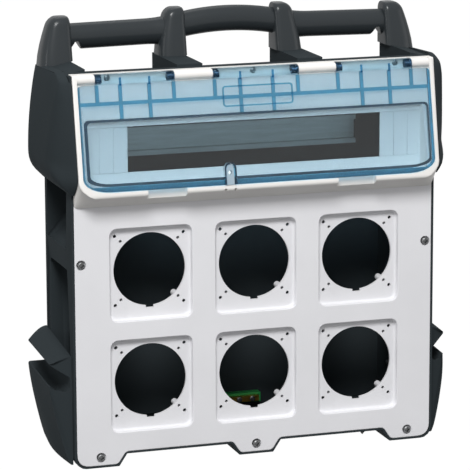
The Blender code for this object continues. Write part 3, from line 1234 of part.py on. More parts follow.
def make_carry_handle():
    """One moulding: four posts on the shell's ridges, joined by an oval bar that arches over the middle."""
    side_z = RIDGE_Z + SIDE_GRIP_RISE
    middle_z = RIDGE_Z + MIDDLE_GRIP_RISE
    bury = POST_TOP / 2
    inner_post = INNER_RIDGE_START
    outer_post = OUTER_RIDGE_START
    half = inner_post + bury
    steps = 10
    arch = []
    for i in range(steps + 1):
        share = 2 * i / steps - 1
        arch.append((half * share, middle_z + ARCH_RISE * (1 - share ** 2), 1.0))
    handle = add_part("carry_handle", grip_mesh("carry_handle", arch), ANTHRACITE)

    for sign, label in ((-1, "left"), (1, "right")):
        # Side bar: climbs a little towards the inner post and swells where it meets it
        start = half + FIT
        length = outer_post + bury - start
        meeting = inner_post + (RIDGE_WIDTH + POST_TOP) / 2
        path = []
        for i in range(steps + 1):
            x = start + length * (i / steps) ** 1.5
            swell = max(1 - max(x - meeting, 0) / GRIP_FLARE_RUN, 0) ** 2
            z = side_z + SIDE_GRIP_CLIMB * (1 - (x - start) / length)
            path.append((sign * x, z, 1 + (GRIP_FLARE - 1) * swell))
        bar = grip_mesh(f"{label}_bar", path)
        inner = post_mesh(f"{label}_inner_post", inner_post, inner_post + RIDGE_WIDTH, inner_post + POST_TOP,
                          INNER_POST_HEIGHT, sign)
        end_base = SHELL_HALF + FIT + SHOULDER_TOP_BULGE
        outer = post_mesh(f"{label}_outer_post", outer_post, end_base, outer_post + POST_TOP, OUTER_POST_HEIGHT,
                          sign, RIDGE_Z - ridge_top(end_base))
        for mesh in (bar, inner, outer):
            combine(handle, "UNION", add_cutter(mesh.name, mesh))
        x = sign * (OUTER_RIDGE_START + TENON_WIDTH)
        tenon = (
            (x - TENON_WIDTH / 2, BODY_DEPTH - WALL - TENON_DEPTH - FIT, RIDGE_Z - TENON_LENGTH),
            (x + TENON_WIDTH / 2, BODY_DEPTH - WALL - FIT, RIDGE_Z + TENON_LENGTH),
        )
        combine(handle, "UNION", add_cutter(f"{label}_tenon", boxes(f"{label}_tenon", [tenon])))

        # Notch in the bar's underside beside the end post
        middle = sign * (OUTER_RIDGE_START - NOTCH_GAP)
        low = side_z - GRIP_HEIGHT / 2
        notch = [(middle - NOTCH_WIDTH / 2, low - FIT), (middle + NOTCH_WIDTH / 2, low - FIT),
                 *arc((middle, low + NOTCH_HEIGHT * 0.75), NOTCH_HEIGHT / 4, 0, 180, CORNER_STEPS)]
        cut = front(f"{label}_notch", [notch], 0, BODY_DEPTH * 2)
        combine(handle, "DIFFERENCE", add_cutter(f"{label}_notch", cut))

    holes = top("handle_holes", [circle(place, screw_hole, SMALL_CIRCLE) for place in handle_screws],
                RIDGE_Z - PAST, RIDGE_Z + HANDLE_SCREW_GRIP + 2 * FIT)
    combine(handle, "DIFFERENCE", add_cutter("handle_holes", holes))


def make_screws():
    """Screws of the panel, the hood, the handle and the side mouldings."""
    for i, (x, z) in enumerate(panel_screws, 1):
        length = SEAT_DEPTH + PANEL_SCREW_GRIP - HEAD_SINK
        screw(f"panel_screw_{i}", (x, HEAD_SINK - FIT, z), (0, 1, 0), SCREW_HEAD, SCREW_HEAD_HEIGHT, length)
    for i, (x, z) in enumerate(hood_screws, 1):
        depth = HOOD_BACK - SMALL_HEAD_HEIGHT - FIT
        screw(f"hood_screw_{i}", (x, depth, z), (0, 1, 0), SMALL_HEAD, SMALL_HEAD_HEIGHT, UPSTAND_BACK - depth)
    for i, (x, d) in enumerate(handle_screws, 1):
        length = RIDGE_Z - CHANNEL_TOP + HANDLE_SCREW_GRIP
        screw(f"handle_screw_{i}", (x, d, CHANNEL_TOP - FIT), (0, 0, 1), SMALL_HEAD, SMALL_HEAD_HEIGHT, length)
    for kind, z in (("shoulder", shoulder_screw_z), ("hook", hook_screw_z)):
        places = [(sign, d) for sign in (-1, 1) for d in side_screw_depths]
        for i, (sign, d) in enumerate(places, 1):
            spot = (sign * (CAVITY_HALF - FIT), d, z)
            length = WALL + SIDE_SCREW_GRIP
            screw(f"{kind}_screw_{i}", spot, (sign, 0, 0), SMALL_HEAD, SMALL_HEAD_HEIGHT, length)


make_rear_shell()
make_shoulder("left", -1)
make_shoulder("right", 1)
make_hook("left", -1)
make_hook("right", 1)
make_front_panel()
make_panel_seal()
make_hood()
make_hinge_pins()
make_flap()
make_lock_eyelet()
make_module_row()
make_earth_terminal()
make_drain_plug()
make_carry_handle()
make_screws()
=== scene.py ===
import bpy
import bmesh
from math import asin, cos, pi, radians, sin, sqrt
from mathutils import Matrix, Vector


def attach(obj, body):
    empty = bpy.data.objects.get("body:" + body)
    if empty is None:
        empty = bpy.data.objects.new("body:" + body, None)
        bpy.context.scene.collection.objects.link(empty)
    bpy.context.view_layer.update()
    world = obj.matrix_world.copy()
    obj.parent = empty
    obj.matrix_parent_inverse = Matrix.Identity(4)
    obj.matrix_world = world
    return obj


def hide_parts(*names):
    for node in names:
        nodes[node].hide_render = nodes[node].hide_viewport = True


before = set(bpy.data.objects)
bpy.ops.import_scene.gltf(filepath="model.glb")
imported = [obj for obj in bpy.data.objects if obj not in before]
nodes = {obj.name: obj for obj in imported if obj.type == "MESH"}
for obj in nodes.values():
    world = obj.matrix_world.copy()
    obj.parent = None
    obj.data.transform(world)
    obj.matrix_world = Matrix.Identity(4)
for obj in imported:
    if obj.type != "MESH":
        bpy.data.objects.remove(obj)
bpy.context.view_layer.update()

# Camera: at the photograph's viewing angle, a long lens some three and a half metres away,
# standing to the left of the box's front and looking a little down on it.
camera_data = bpy.data.cameras.new("camera")
camera_data.lens = 226.3
camera_data.sensor_width = 36.0
camera_data.clip_end = 50.0
camera = bpy.data.objects.new("camera", camera_data)
camera.location = (-1.0894, -3.3459, 1.0036)
camera.rotation_euler = (radians(78.05), radians(0.205), radians(-17.98))
bpy.context.scene.collection.objects.link(camera)
bpy.context.scene.camera = camera
bpy.context.scene.view_settings.view_transform = "Standard"


# Floor: a sheet of studio paper under the box, bright to the camera and to what mirrors it,
# and still taking the soft shadow of the feet.
def linear(hex_colour):
    """Linear colour of an sRGB hex value."""
    channels = [int(hex_colour[i:i + 2], 16) / 255 for i in (1, 3, 5)]
    parts = [c / 12.92 if c <= 0.04045 else ((c + 0.055) / 1.055) ** 2.4 for c in channels]
    return (*parts, 1.0)


def add_node(tree, kind, inputs=None, **settings):
    """One shader node with its settings, its values and its links."""
    node = tree.nodes.new(kind)
    for key, value in settings.items():
        setattr(node, key, value)
    for socket, value in (inputs or {}).items():
        if isinstance(value, bpy.types.NodeSocket):
            tree.links.new(value, node.inputs[socket])
        else:
            node.inputs[socket].default_value = value
    return node


def new_material(name):
    """An empty node material and its output node."""
    made = bpy.data.materials.new(name)
    made.use_nodes = True
    made.node_tree.nodes.clear()
    return made, made.node_tree, add_node(made.node_tree, "ShaderNodeOutputMaterial")


floor_reach = 7.0
paper_glow, glow_share = 1.08, 0.93
work = bmesh.new()
bmesh.ops.create_grid(work, x_segments=1, y_segments=1, size=floor_reach)
floor_mesh = bpy.data.meshes.new("floor")
work.to_mesh(floor_mesh)
work.free()
floor = bpy.data.objects.new("floor", floor_mesh)
bpy.context.scene.collection.objects.link(floor)
# Paper that looks white, and throws little light back up at the box
floor_paper, tree, output = new_material("studio_paper")
paper = add_node(tree, "ShaderNodeBsdfDiffuse", {"Color": linear("#747474")})
glow = add_node(tree, "ShaderNodeEmission", {"Color": linear("#FFFFFF"), "Strength": paper_glow})
path = add_node(tree, "ShaderNodeLightPath")
direct = add_node(tree, "ShaderNodeMath",
                  {0: path.outputs["Is Camera Ray"], 1: path.outputs["Is Glossy Ray"]}, operation="MAXIMUM")
seen = add_node(tree, "ShaderNodeMath",
                {0: direct.outputs[0], 1: path.outputs["Is Transmission Ray"]}, operation="MAXIMUM")
share = add_node(tree, "ShaderNodeMath", {0: seen.outputs[0], 1: glow_share}, operation="MULTIPLY")
mixed = add_node(tree, "ShaderNodeMixShader",
                 {0: share.outputs[0], 1: paper.outputs[0], 2: glow.outputs[0]})
tree.links.new(mixed.outputs[0], output.inputs["Surface"])
floor_mesh.materials.append(floor_paper)

# Light: a dim room that looks white in metal and clear plastic, a wide soft lamp high to the left of
# the front, weak ones low on the right and above the back, and a tall narrow one far left, which
# draws a bright line down the handle's posts.
room_light, mirrored_light = 0.42, 1.0
world = bpy.data.worlds.new("studio")
world.use_nodes = True
bpy.context.scene.world = world
tree = world.node_tree
tree.nodes.clear()
path = add_node(tree, "ShaderNodeLightPath")
dim = add_node(tree, "ShaderNodeBackground", {"Color": linear("#FFFFFF"), "Strength": room_light})
white = add_node(tree, "ShaderNodeBackground", {"Color": linear("#FFFFFF"), "Strength": mirrored_light})
mirrored = add_node(tree, "ShaderNodeMath",
                    {0: path.outputs["Is Glossy Ray"], 1: path.outputs["Is Transmission Ray"]},
                    operation="MAXIMUM")
mixed = add_node(tree, "ShaderNodeMixShader",
                 {0: mirrored.outputs[0], 1: dim.outputs[0], 2: white.outputs[0]})
add_node(tree, "ShaderNodeOutputWorld", {"Surface": mixed.outputs[0]})


def add_lamp(name, place, aim, size, power, height=None):
    """A soft lamp at a place, turned towards a point, square unless it has a height."""
    data = bpy.data.lights.new(name, "AREA")
    data.shape = "RECTANGLE"
    data.size = size
    data.size_y = height or size
    data.energy = power
    lamp = bpy.data.objects.new(name, data)
    lamp.location = place
    lamp.rotation_euler = (Vector(aim) - Vector(place)).to_track_quat("-Z", "Y").to_euler()
    bpy.context.scene.collection.objects.link(lamp)


add_lamp("key_lamp", (-1.1, -2.75, 3.05), (0, 0, 0.25), size=1.2, power=142)
add_lamp("fill_lamp", (2.6, -1.7, 0.9), (0, 0, 0.25), size=1.4, power=9)
add_lamp("top_lamp", (0.1, 0.9, 2.4), (0, 0, 0.4), size=1.2, power=7)
add_lamp("side_lamp", (-2.4, -0.75, 0.7), (0, 0, 0.5), size=0.25, power=6, height=1.1)


# Rear shell: the tub of the box, injection moulded in anthracite polypropylene with a fine
# spark-eroded grain, open to the front, with filleted channels down both sides and ridges on its deck.
def moulded_plastic(name, hex_colour, roughness, grain_mm, grain_depth_mm, shine=0.3, coat=0.0):
    """Moulded plastic: an even colour with faint clouds, a sheen that varies a little, and a fine grain."""
    cloud_mm, cloud_tint, cloud_sheen = 80, 0.06, 0.05
    made, tree, output = new_material(name)
    place = add_node(tree, "ShaderNodeTexCoord").outputs["Object"]
    clouds = add_node(tree, "ShaderNodeTexNoise", {"Vector": place, "Scale": 1000 / cloud_mm, "Detail": 3.0})
    base = Vector(linear(hex_colour)[:3])
    darker, lighter = (*base * (1 - cloud_tint), 1), (*base * (1 + cloud_tint), 1)
    tint = add_node(tree, "ShaderNodeMix", {0: clouds.outputs["Fac"], 6: darker, 7: lighter},
                    data_type="RGBA")
    grain = add_node(tree, "ShaderNodeTexNoise", {"Vector": place, "Scale": 1000 / grain_mm, "Detail": 2.0})
    sheen = add_node(tree, "ShaderNodeMapRange", {
        "Value": clouds.outputs["Fac"], "From Min": 0.3, "From Max": 0.7,
        "To Min": roughness - cloud_sheen, "To Max": roughness + cloud_sheen})
    bump = add_node(tree, "ShaderNodeBump", {
        "Height": grain.outputs["Fac"], "Strength": 0.5, "Distance": grain_depth_mm / 1000})
    shader = add_node(tree, "ShaderNodeBsdfPrincipled", {
        "Base Color": tint.outputs[2], "Roughness": sheen.outputs[0], "Normal": bump.outputs[0],
        "Specular IOR Level": shine, "Coat Weight": coat, "Coat Roughness": 0.24})
    tree.links.new(shader.outputs[0], output.inputs["Surface"])
    return made


def new_shape(mesh=None):
    """An empty shape, or a mesh's, with room for the share of rounding of each edge."""
    shape = bmesh.new()
    if mesh:
        shape.from_mesh(mesh)
    shape.edges.layers.float.new("bevel_weight_edge")
    return shape


def solid_of(node):
    """Merged copy of a CAD node's mesh, with its flat faces whole again."""
    shape = new_shape(nodes[node].data)
    bmesh.ops.remove_doubles(shape, verts=shape.verts, dist=1e-6)
    bmesh.ops.dissolve_limit(shape, angle_limit=radians(0.5), verts=shape.verts, edges=shape.edges)
    shape.normal_update()
    return shape


def weigh(shape, edges, share):
    """Marks edges to be rounded by a share of the piece's rounding."""
    weight = shape.edges.layers.float["bevel_weight_edge"]
    for edge in edges:
        edge[weight] = share


def is_sharp(edge, limit=32):
    """Whether two faces meet at an edge at more than an angle."""
    return len(edge.link_faces) == 2 and edge.calc_face_angle(0) > radians(limit)


def add_piece(name, shape, finish, body, slot, *replaced, rounding=0.0, segments=2, sharp=32,
              is_held=False):
    """A finished piece at the origin, riding on a body and standing for CAD nodes, marked edges rounded."""
    for edge in shape.edges:
        edge.smooth = not is_sharp(edge, sharp)
    for face in shape.faces:
        turns = [edge.calc_face_angle(0) for edge in face.edges if len(edge.link_faces) == 2]
        face.smooth = rounding > 0 or any(radians(0.5) < turn < radians(sharp) for turn in turns)
    mesh = bpy.data.meshes.new(name)
    shape.to_mesh(mesh)
    shape.free()
    piece = bpy.data.objects.new(name, mesh)
    bpy.context.scene.collection.objects.link(piece)
    mesh.materials.append(finish)
    if rounding:
        bevel = piece.modifiers.new("rounded_edges", "BEVEL")
        bevel.width = rounding
        bevel.segments = segments
        bevel.profile = 0.5
        bevel.limit_method = "WEIGHT"
        bevel.use_clamp_overlap = is_held
        bevel.harden_normals = True
    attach(piece, body)
    if replaced:
        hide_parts(*replaced)
    return piece


# Polypropylene from a spark-eroded mould: near black, dull and even, its grain drawn coarse enough to show
anthracite = moulded_plastic("anthracite_polypropylene", "#2F3538", roughness=0.85, grain_mm=1.6,
                             grain_depth_mm=0.03, shine=0.04)
shell = solid_of("rear_shell")
channel_start = 0.200
deck_low = 0.452
long_edge = 0.012
fillet, edge_share = 0.009, 0.1


def is_in_channel(edge):
    """Whether an edge lies on the side of the shell, in or beside a channel."""
    return min(abs(vert.co.x) for vert in edge.verts) > channel_start


outside = [edge for edge in shell.edges if is_sharp(edge) and edge.calc_length() > long_edge
           and max(vert.co.z for vert in edge.verts) < deck_low]
weigh(shell, [edge for edge in outside if edge.is_convex], edge_share)
weigh(shell, [edge for edge in outside if not edge.is_convex and is_in_channel(edge)], 1.0)
add_piece("shell_moulding", shell, anthracite, "box", "anthracite_plastic", "rear_shell",
          rounding=fillet, segments=5)


# Shoulders: hollow anthracite mouldings that swell out of the box beside the hood, each keyed into
# a side channel and screwed from inside. A soft crease runs down each one.
def soften(outline, radii, steps):
    """Outline with each corner drawn out into a smooth run of points."""
    points = []
    for i, radius in enumerate(radii):
        corner = Vector(outline[i])
        before = Vector(outline[i - 1]) - corner
        after = Vector(outline[(i + 1) % len(outline)]) - corner
        reach = min(radius, before.length * 0.45, after.length * 0.45)
        start = corner + before.normalized() * reach
        end = corner + after.normalized() * reach
        for j in range(steps + 1):
            share = j / steps
            points.append(start.lerp(corner, share).lerp(corner.lerp(end, share), share))
    return points


def add_loop(shape, points):
    """A closed loop of edges through points."""
    verts = bmesh.ops.create_circle(shape, segments=len(points), radius=1.0)["verts"]
    for vert, point in zip(verts, points):
        vert.co = point
    return list({edge for vert in verts for edge in vert.link_edges})


def loft(shape, rings, is_ring=False):
    """Skin through loops of points, capped at both ends or joined round into a ring."""
    loops = [add_loop(shape, points) for points in rings]
    pairs = list(zip(loops, loops[1:])) + ([(loops[-1], loops[0])] if is_ring else [])
    for first, second in pairs:
        bmesh.ops.bridge_loops(shape, edges=first + second)
    if not is_ring:
        bmesh.ops.contextual_create(shape, geom=loops[0])
        bmesh.ops.contextual_create(shape, geom=loops[-1])
    bmesh.ops.recalc_face_normals(shape, faces=shape.faces)
    return loops


front_y = -0.0625
body_depth = 0.125
shell_side = 0.2281
ridge_z = 0.479
ridge_slope = 0.214
hood_top, hood_lean, hood_setback = 0.475, 0.2062, 0.001
shoulder_low, belly, shoulder_top = 0.335, 0.371, 0.4738
belly_swell, top_draw, least_swell = 0.0205, 0.0110, 0.0015
tuck_high, tuck_run = 0.357, 0.027
crease_near, crease_fall, crease_high, crease_run = 0.006, 0.020, 0.453, 0.080
nose_height, nose_back = 0.010, 0.026
lap_side, lap_depth, least_lap, edge_depth = 0.2256, 0.0006, 0.0016, 0.0010
dome_height, dome_reach = 0.004, 0.090
wall_gap = 0.0003


def hood_face(z):
    """Depth of the hood's sloping face at a height."""
    return -hood_setback - (hood_top - z) * hood_lean


def clamp(value):
    """A value held between nought and one."""
    return min(max(value, 0.0), 1.0)


def shoulder_ring(z, sign):
    """Points round a shoulder at a height."""
    low = (belly - z) / (belly - shoulder_low)
    high = (z - belly) / (shoulder_top - belly)
    bulge = belly_swell * (1 - low ** 2.6) if z < belly else belly_swell - top_draw * high ** 1.9
    outer = shell_side + max(bulge, least_swell)
    near = hood_face(max(z, tuck_high)) * (1 - clamp((tuck_high - z) / tuck_run) ** 1.6)
    crease = crease_near + crease_fall * clamp((crease_high - z) / crease_run)
    if z < belly:
        crease -= (crease - near) * low ** 1.5
    nose = clamp((z - shoulder_top + nose_height) / nose_height)
    back = nose_back * (1 - sqrt(1 - nose ** 2))
    near += back
    is_lapping = near < -least_lap
    front = lap_side if is_lapping else shell_side + 2 * wall_gap
    lap = -lap_depth if is_lapping else near + edge_depth
    inner = shell_side + wall_gap
    corners = [(front, near), (outer, crease + back), (outer, body_depth), (inner, body_depth), (inner, lap),
               (front - 0.0001, lap)]
    outline = soften(corners, (0.0012, 0.016, 0.005, 0.0004, 0.0004, 0.0004), 5)
    dome = [dome_height * nose * sin(pi * clamp(d / dome_reach)) for _, d in outline]
    return [(sign * x, front_y + d, z + rise - max(x - shell_side, 0) * ridge_slope * nose)
            for (x, d), rise in zip(outline, dome)]


nose_low = shoulder_top - nose_height
heights = [shoulder_low + (nose_low - shoulder_low) * i / 26 for i in range(27)]
heights += [nose_low + nose_height * sin(radians(turn)) for turn in (12, 24, 36, 48, 60, 72, 82, 90)]
for side, sign in (("left", -1), ("right", 1)):
    shoulder = new_shape()
    loops = loft(shoulder, [shoulder_ring(z, sign) for z in heights])
    weigh(shoulder, loops[-1], 1.0)
    add_piece(f"{side}_shoulder_moulding", shoulder, anthracite, "box", "anthracite_plastic",
              f"{side}_shoulder", rounding=0.0012, sharp=50)

# Cable hooks: a drooping beak over a cradle low on each side, moulded in the same plastic and screwed
# from inside, for winding up a cable.
hook_front, front_fall, tip_fall = 0.007, 0.0125, 0.007
hook_reach = 0.0244
hook_low = 0.005
horn_tip, horn_fall = 0.1065, 0.0085
horn_root, horn_sway, horn_belly = 0.08, 0.04, 0.0055
cup_depth, cup_start, cup_rim = 0.013, 0.35, 0.3
cup_places = ((0.38, 0.8), (0.68, 1.0), (0.8975, 0.1))
throat, mouth = 0.1125, 0.2306
beak_tip, beak_rise = 0.1325, 0.0172
beak_fall, root_fall = 0.008, 0.005


def hook_depth(x, share):
    """Depth of a point of a hook at a share of the way from its curved front to its back."""
    out = clamp((x - shell_side) / hook_reach)
    near = hook_front + front_fall * out ** 1.6 + tip_fall * out ** 12
    return near + (body_depth - near) * share


def hook_ring(share):
    """Points round a hook at a share of the way from its curved front to its back."""
    tip = shell_side + hook_reach

    def forward(x):
        """Share of the way from the back to the front."""
        return 1 - hook_depth(x, share) / body_depth

    outline = [(shell_side, hook_low)]
    for t in [i / 12 for i in range(13)]:
        x = shell_side + hook_reach * (horn_root + (1 - horn_root) * t ** 0.72 + horn_sway * sin(pi * t * t))
        z = hook_low + (horn_tip - hook_low) * t
        bulge = horn_belly * (1 - t) ** 1.5 * sin(pi * forward(x))
        outline.append((x + bulge, z - horn_fall * forward(x) ** 1.5 * t ** 2))
    hollow = cup_rim + (1 - cup_rim) * clamp(share * 7)
    for part, drop in cup_places:
        x = tip - hook_reach * part
        cup = cup_depth * drop * clamp(forward(x) / cup_start) ** 0.7 * hollow
        outline.append((x, horn_tip - horn_fall * forward(x) ** 1.5 - cup))
    outline.append((mouth, throat))
    for t in [i / 8 for i in range(9)]:
        x = tip - hook_reach * t
        fall = (beak_fall + root_fall * t) * forward(x)
        outline.append((x, beak_tip + beak_rise * sin(pi / 2 * t) - fall))
    outline.append((shell_side, throat))
    radii = [0.0004, 0.004] + [0.0012] * 11 + [0.0030, 0.005, 0.006, 0.004, 0.002, 0.0022]
    radii += [0.0012] * 7 + [0.0004] * 2
    return [(x, front_y + hook_depth(x, share), z) for x, z in soften(outline, radii, 3)]


for side, sign in (("left", -1), ("right", 1)):
    hook = new_shape()
    rings = [hook_ring(i / 14) for i in range(15)]
    loops = loft(hook, [[(sign * x, y, z) for x, y, z in ring] for ring in rings])
    clear_of_shell = shell_side + 0.001
    weigh(hook, [edge for edge in loops[0]
                 if max(abs(vert.co.x) for vert in edge.verts) > clear_of_shell], 1.0)
    add_piece(f"{side}_hook_moulding", hook, anthracite, "box", "anthracite_plastic", f"{side}_cable_hook",
              rounding=0.0012, segments=3, is_held=True)

# Carry handle: one moulding of four tapered posts and an oval grip that arches over the middle,
# screwed down on the deck's ridges.
post_near, post_rear = 0.086, 0.125
post_lean = 0.012
post_radii = (0.008, 0.018, 0.009, 0.006)
crown, crown_draw = 0.009, 0.8
inner_draw, near_draw, rear_draw = 0.35, 0.7, 0.5
# Inner side, outer side at the foot and at the top, height, and fall of the foot towards the outside
inner_post = (0.0565, 0.0910, 0.0785, 0.056, 0.0)
end_post = (0.1990, 0.2376, 0.2225, 0.051, 0.0072)


def post_ring(share, sign, inner, outer_base, outer_top, height, fall):
    """Points round a handle post at a share of its height."""
    rise = clamp((share * height - height + crown) / crown)
    draw = crown * (1 - sqrt(1 - rise ** 2)) * crown_draw
    low_x = inner + draw * inner_draw
    high_x = outer_base + (outer_top - outer_base) * share ** 1.5 - draw
    near = post_near + post_lean * share + draw * near_draw
    rear = post_rear - draw * rear_draw
    outline = soften([(low_x, near), (high_x, near), (high_x, rear), (low_x, rear)], post_radii, 7)
    points = []
    for x, d in outline:
        foot = ridge_z - fall * (x - inner) / (outer_base - inner)
        points.append((sign * x, front_y + d, foot * (1 - share) + (ridge_z + height) * share))
    return points


def circle(centre, radius, steps, start=0.0, end=2 * pi):
    """Points round a circle or along an arc of one, short of its end."""
    turns = [start + (end - start) * i / steps for i in range(steps)]
    return [(centre[0] + radius * cos(t), centre[1] + radius * sin(t)) for t in turns]


grip_depth = 0.111
grip_half, grip_half_depth = 0.01575, 0.0125
notch_x, notch_half, notch_height, notch_ramp, notch_step = 0.1915, 0.007, 0.0105, 0.005, 0.00075
arch_half, arch_foot, arch_rise = 0.0685, 0.0325, 0.0074
bar_start, bar_end = 0.0720, 0.2125
bar_rise, bar_climb = 0.0263, 0.0023
inner_flare, inner_flare_run = 0.084, 0.020
end_flare, end_flare_run, end_flare_share = 0.2035, 0.006, 0.6
flare_swell = 0.08


def grip_ring(x, z, swell):
    """Points round the oval grip at a place along it, with the notch in its underside."""
    lift = notch_height * clamp((notch_half - abs(abs(x) - notch_x)) / notch_ramp)
    low = z - grip_half * swell + lift
    oval = circle((grip_depth, z), 1.0, 32)
    return [(x, front_y + grip_depth + (d - grip_depth) * grip_half_depth * swell,
             max(z + (h - z) * grip_half * swell, low)) for d, h in oval]


# The same plastic, worn smooth by hands, with a soft sheen that draws its curves; its colour is a little
# darker, painted shade that keeps the shiny handle as dark as the rest
handle_worn_and_shaded = moulded_plastic("hand_worn_shaded_polypropylene", "#272C2F", roughness=0.8, grain_mm=1.6,
                          grain_depth_mm=0.02, shine=0.1, coat=0.4)
handle = new_shape()
levels = [0, 0.2, 0.4, 0.6, 0.72, 0.78, 0.83, 0.87, 0.91, 0.94, 0.965, 0.985, 0.997]
arch = [i / 16 - 1 for i in range(33)]
loft(handle, [grip_ring(arch_half * t, ridge_z + arch_foot + arch_rise * (1 - t * t), 1.0) for t in arch])
stations = [bar_start + (bar_end - bar_start) * i / 24 for i in range(25)]
stations = sorted(stations + [notch_x + notch_step * i for i in range(-10, 11)])
for sign in (-1, 1):
    loft(handle, [post_ring(t, sign, *inner_post) for t in levels])
    loft(handle, [post_ring(t, sign, *end_post) for t in levels])
    bar = []
    for x in stations:
        along = (x - bar_start) / (bar_end - bar_start)
        flare = clamp(1 - (x - inner_flare) / inner_flare_run) ** 2
        flare += end_flare_share * clamp(1 - (end_flare - x) / end_flare_run) ** 2
        bar.append(grip_ring(sign * x, ridge_z + bar_rise + bar_climb * (1 - along), 1 + flare_swell * flare))
    loft(handle, bar)
add_piece("handle_moulding", handle, handle_worn_and_shaded, "box", "anthracite_plastic", "carry_handle", sharp=45)

# Front panel: a light grey moulded plate on the shell's seal, with six sunk seats for flanged sockets.
# Each seat has a round cut-out with a key notch and two sets of four screw holes.
panel_thickness = 0.003
recess_depth = 0.008
seat_half, seat_low, seat_high, seat_corner = 0.051, 0.0605, 0.0525, 0.011
hole_radius = 0.0445
key_half = 0.005
key_depth = 0.0025
outer_hole_x, outer_hole_z, outer_hole_radius = 0.0425, 0.042, 0.0022
inner_hole, inner_hole_radius = 0.0355, 0.0019
boss_radius, boss_bore, boss_length = 0.004, 0.0032, 0.017
sink_radius, sink_foot, sink_depth = 0.0061, 0.0058, 0.0026
edge_round, rim_round, foot_round = 0.0009, 0.0009, 0.0026
panel_screws = [(-0.217, 0.2494), (0.217, 0.2494), (-0.1955, 0.0127), (0, 0.0127), (0.1955, 0.0127)]
socket_places = [(x, z) for z in (0.2378, 0.1022) for x in (-0.131, 0.0, 0.131)]
four_ways = [(i, j) for i in (-1, 1) for j in (-1, 1)]
inner_holes = [(x + i * inner_hole, z + j * inner_hole) for x, z in socket_places for i, j in four_ways]


def at_depth(outline, depth):
    """Front-view points at a depth behind the panel's face."""
    return [(x, front_y + depth, z) for x, z in outline]


def fill(shape, edges):
    """Flat faces between an outline and the holes inside it."""
    bmesh.ops.triangle_fill(shape, use_beauty=True, use_dissolve=False, edges=edges)


def sink(shape, edges, depth):
    """Walls from a loop of edges back to a depth, and the loop at their foot."""
    made = bmesh.ops.extrude_edge_only(shape, edges=edges)["geom"]
    verts = [item for item in made if isinstance(item, bmesh.types.BMVert)]
    bmesh.ops.translate(shape, verts=verts, vec=(0, depth, 0))
    low = set(verts)
    return [item for item in made if isinstance(item, bmesh.types.BMEdge) and low.issuperset(item.verts)]


def drawn_in(points, distance):
    """Outline moved inwards by a distance."""
    moved = []
    for i, point in enumerate(points):
        along = Vector(points[(i + 1) % len(points)]) - Vector(points[i - 1])
        moved.append(Vector(point) + Vector((-along.y, along.x)).normalized() * distance)
    return moved


def walls(shape, rings):
    """Walls through loops of points, and the first and last loop."""
    loops = [add_loop(shape, points) for points in rings]
    for first, second in zip(loops, loops[1:]):
        bmesh.ops.bridge_loops(shape, edges=first + second)
    return loops[0], loops[-1]


feet = [(0.0201, 0.0028), (0.0299, 0.0176), (0.1645, 0.0176), (0.1743, 0.0028), (0.225, 0.0028),
        (0.225, 0.324)]
feet += [(-x, z) for x, z in reversed(feet)]
half_radii = [0.004, 0.004, 0.004, 0.004, 0.016, 0.004]
outline = soften(feet, half_radii + half_radii[::-1], 6)
panel = new_shape()
border, _ = walls(panel, [at_depth(drawn_in(outline, edge_round), 0.0),
                          at_depth(drawn_in(outline, edge_round * 0.3), edge_round * 0.3),
                          at_depth(outline, edge_round)])
section = [(rim_round * (1 - sin(radians(t))), rim_round * (1 - cos(radians(t))))
           for t in (0, 22, 45, 68, 90)]
section += [(-foot_round * (1 - cos(radians(t))), recess_depth - foot_round * (1 - sin(radians(t))))
            for t in (0, 30, 60, 90)]
rims = []
swing = asin(key_half / hole_radius)
for x, z in socket_places:
    low, high = z - seat_low, z + seat_high
    rings = []
    for out, depth in section:
        left, right = x - seat_half - out, x + seat_half + out
        seat = [(left, low - out), (right, low - out), (right, high + out), (left, high + out)]
        rings.append(at_depth(soften(seat, [seat_corner + out] * 4, 7), depth))
    rim, floor_loop = walls(panel, rings)
    rims += rim
    key_low = z - hole_radius - key_depth
    ring = circle((x, z), hole_radius, 72, swing - pi / 2, 3 * pi / 2 - swing)
    ring += [(x - key_half, z - hole_radius * cos(swing)), (x - key_half, key_low), (x + key_half, key_low)]
    holes = [circle((x + i * outer_hole_x, z + j * outer_hole_z), outer_hole_radius, 16)
             for i, j in four_ways]
    holes += [circle((x + i * inner_hole, z + j * inner_hole), inner_hole_radius, 16)
              for i, j in four_ways]
    inside = [edge for hole in [ring, *holes] for edge in add_loop(panel, at_depth(hole, recess_depth))]
    fill(panel, floor_loop + inside)
for place in panel_screws:
    rim, foot = walls(panel, [at_depth(circle(place, sink_radius, 24), 0.0),
                              at_depth(circle(place, sink_foot, 24), sink_depth)])
    rims += rim
    bmesh.ops.contextual_create(panel, geom=foot)
fill(panel, border + rims)
bmesh.ops.recalc_face_normals(panel, faces=panel.faces)
widest = max(panel.faces, key=lambda face: face.calc_area())
if widest.normal.y > 0:
    bmesh.ops.reverse_faces(panel, faces=panel.faces)
# ABS with a fine grain: an even light grey with a faint dull sheen
panel_grey = moulded_plastic("light_grey_abs", "#DEDEE1", roughness=0.5, grain_mm=1.6, grain_depth_mm=0.02)
panel_piece = add_piece("panel_moulding", panel, panel_grey, "box", "panel_plastic", "front_panel")
for polygon in panel_piece.data.polygons:
    polygon.use_smooth = abs(polygon.normal.y) < 0.9999
wall = panel_piece.modifiers.new("wall", "SOLIDIFY")
wall.thickness = panel_thickness
wall.offset = -1.0
wall.use_even_offset = True
bosses = new_shape()
boss_near = recess_depth + panel_thickness
for place in inner_holes:
    rings = [(boss_radius, boss_near), (boss_radius, boss_near + boss_length),
             (boss_bore, boss_near + boss_length), (boss_bore, boss_near)]
    loft(bosses, [at_depth(circle(place, radius, 16), depth) for radius, depth in rings], is_ring=True)
add_piece("panel_bosses", bosses, panel_grey, "box", "panel_plastic")

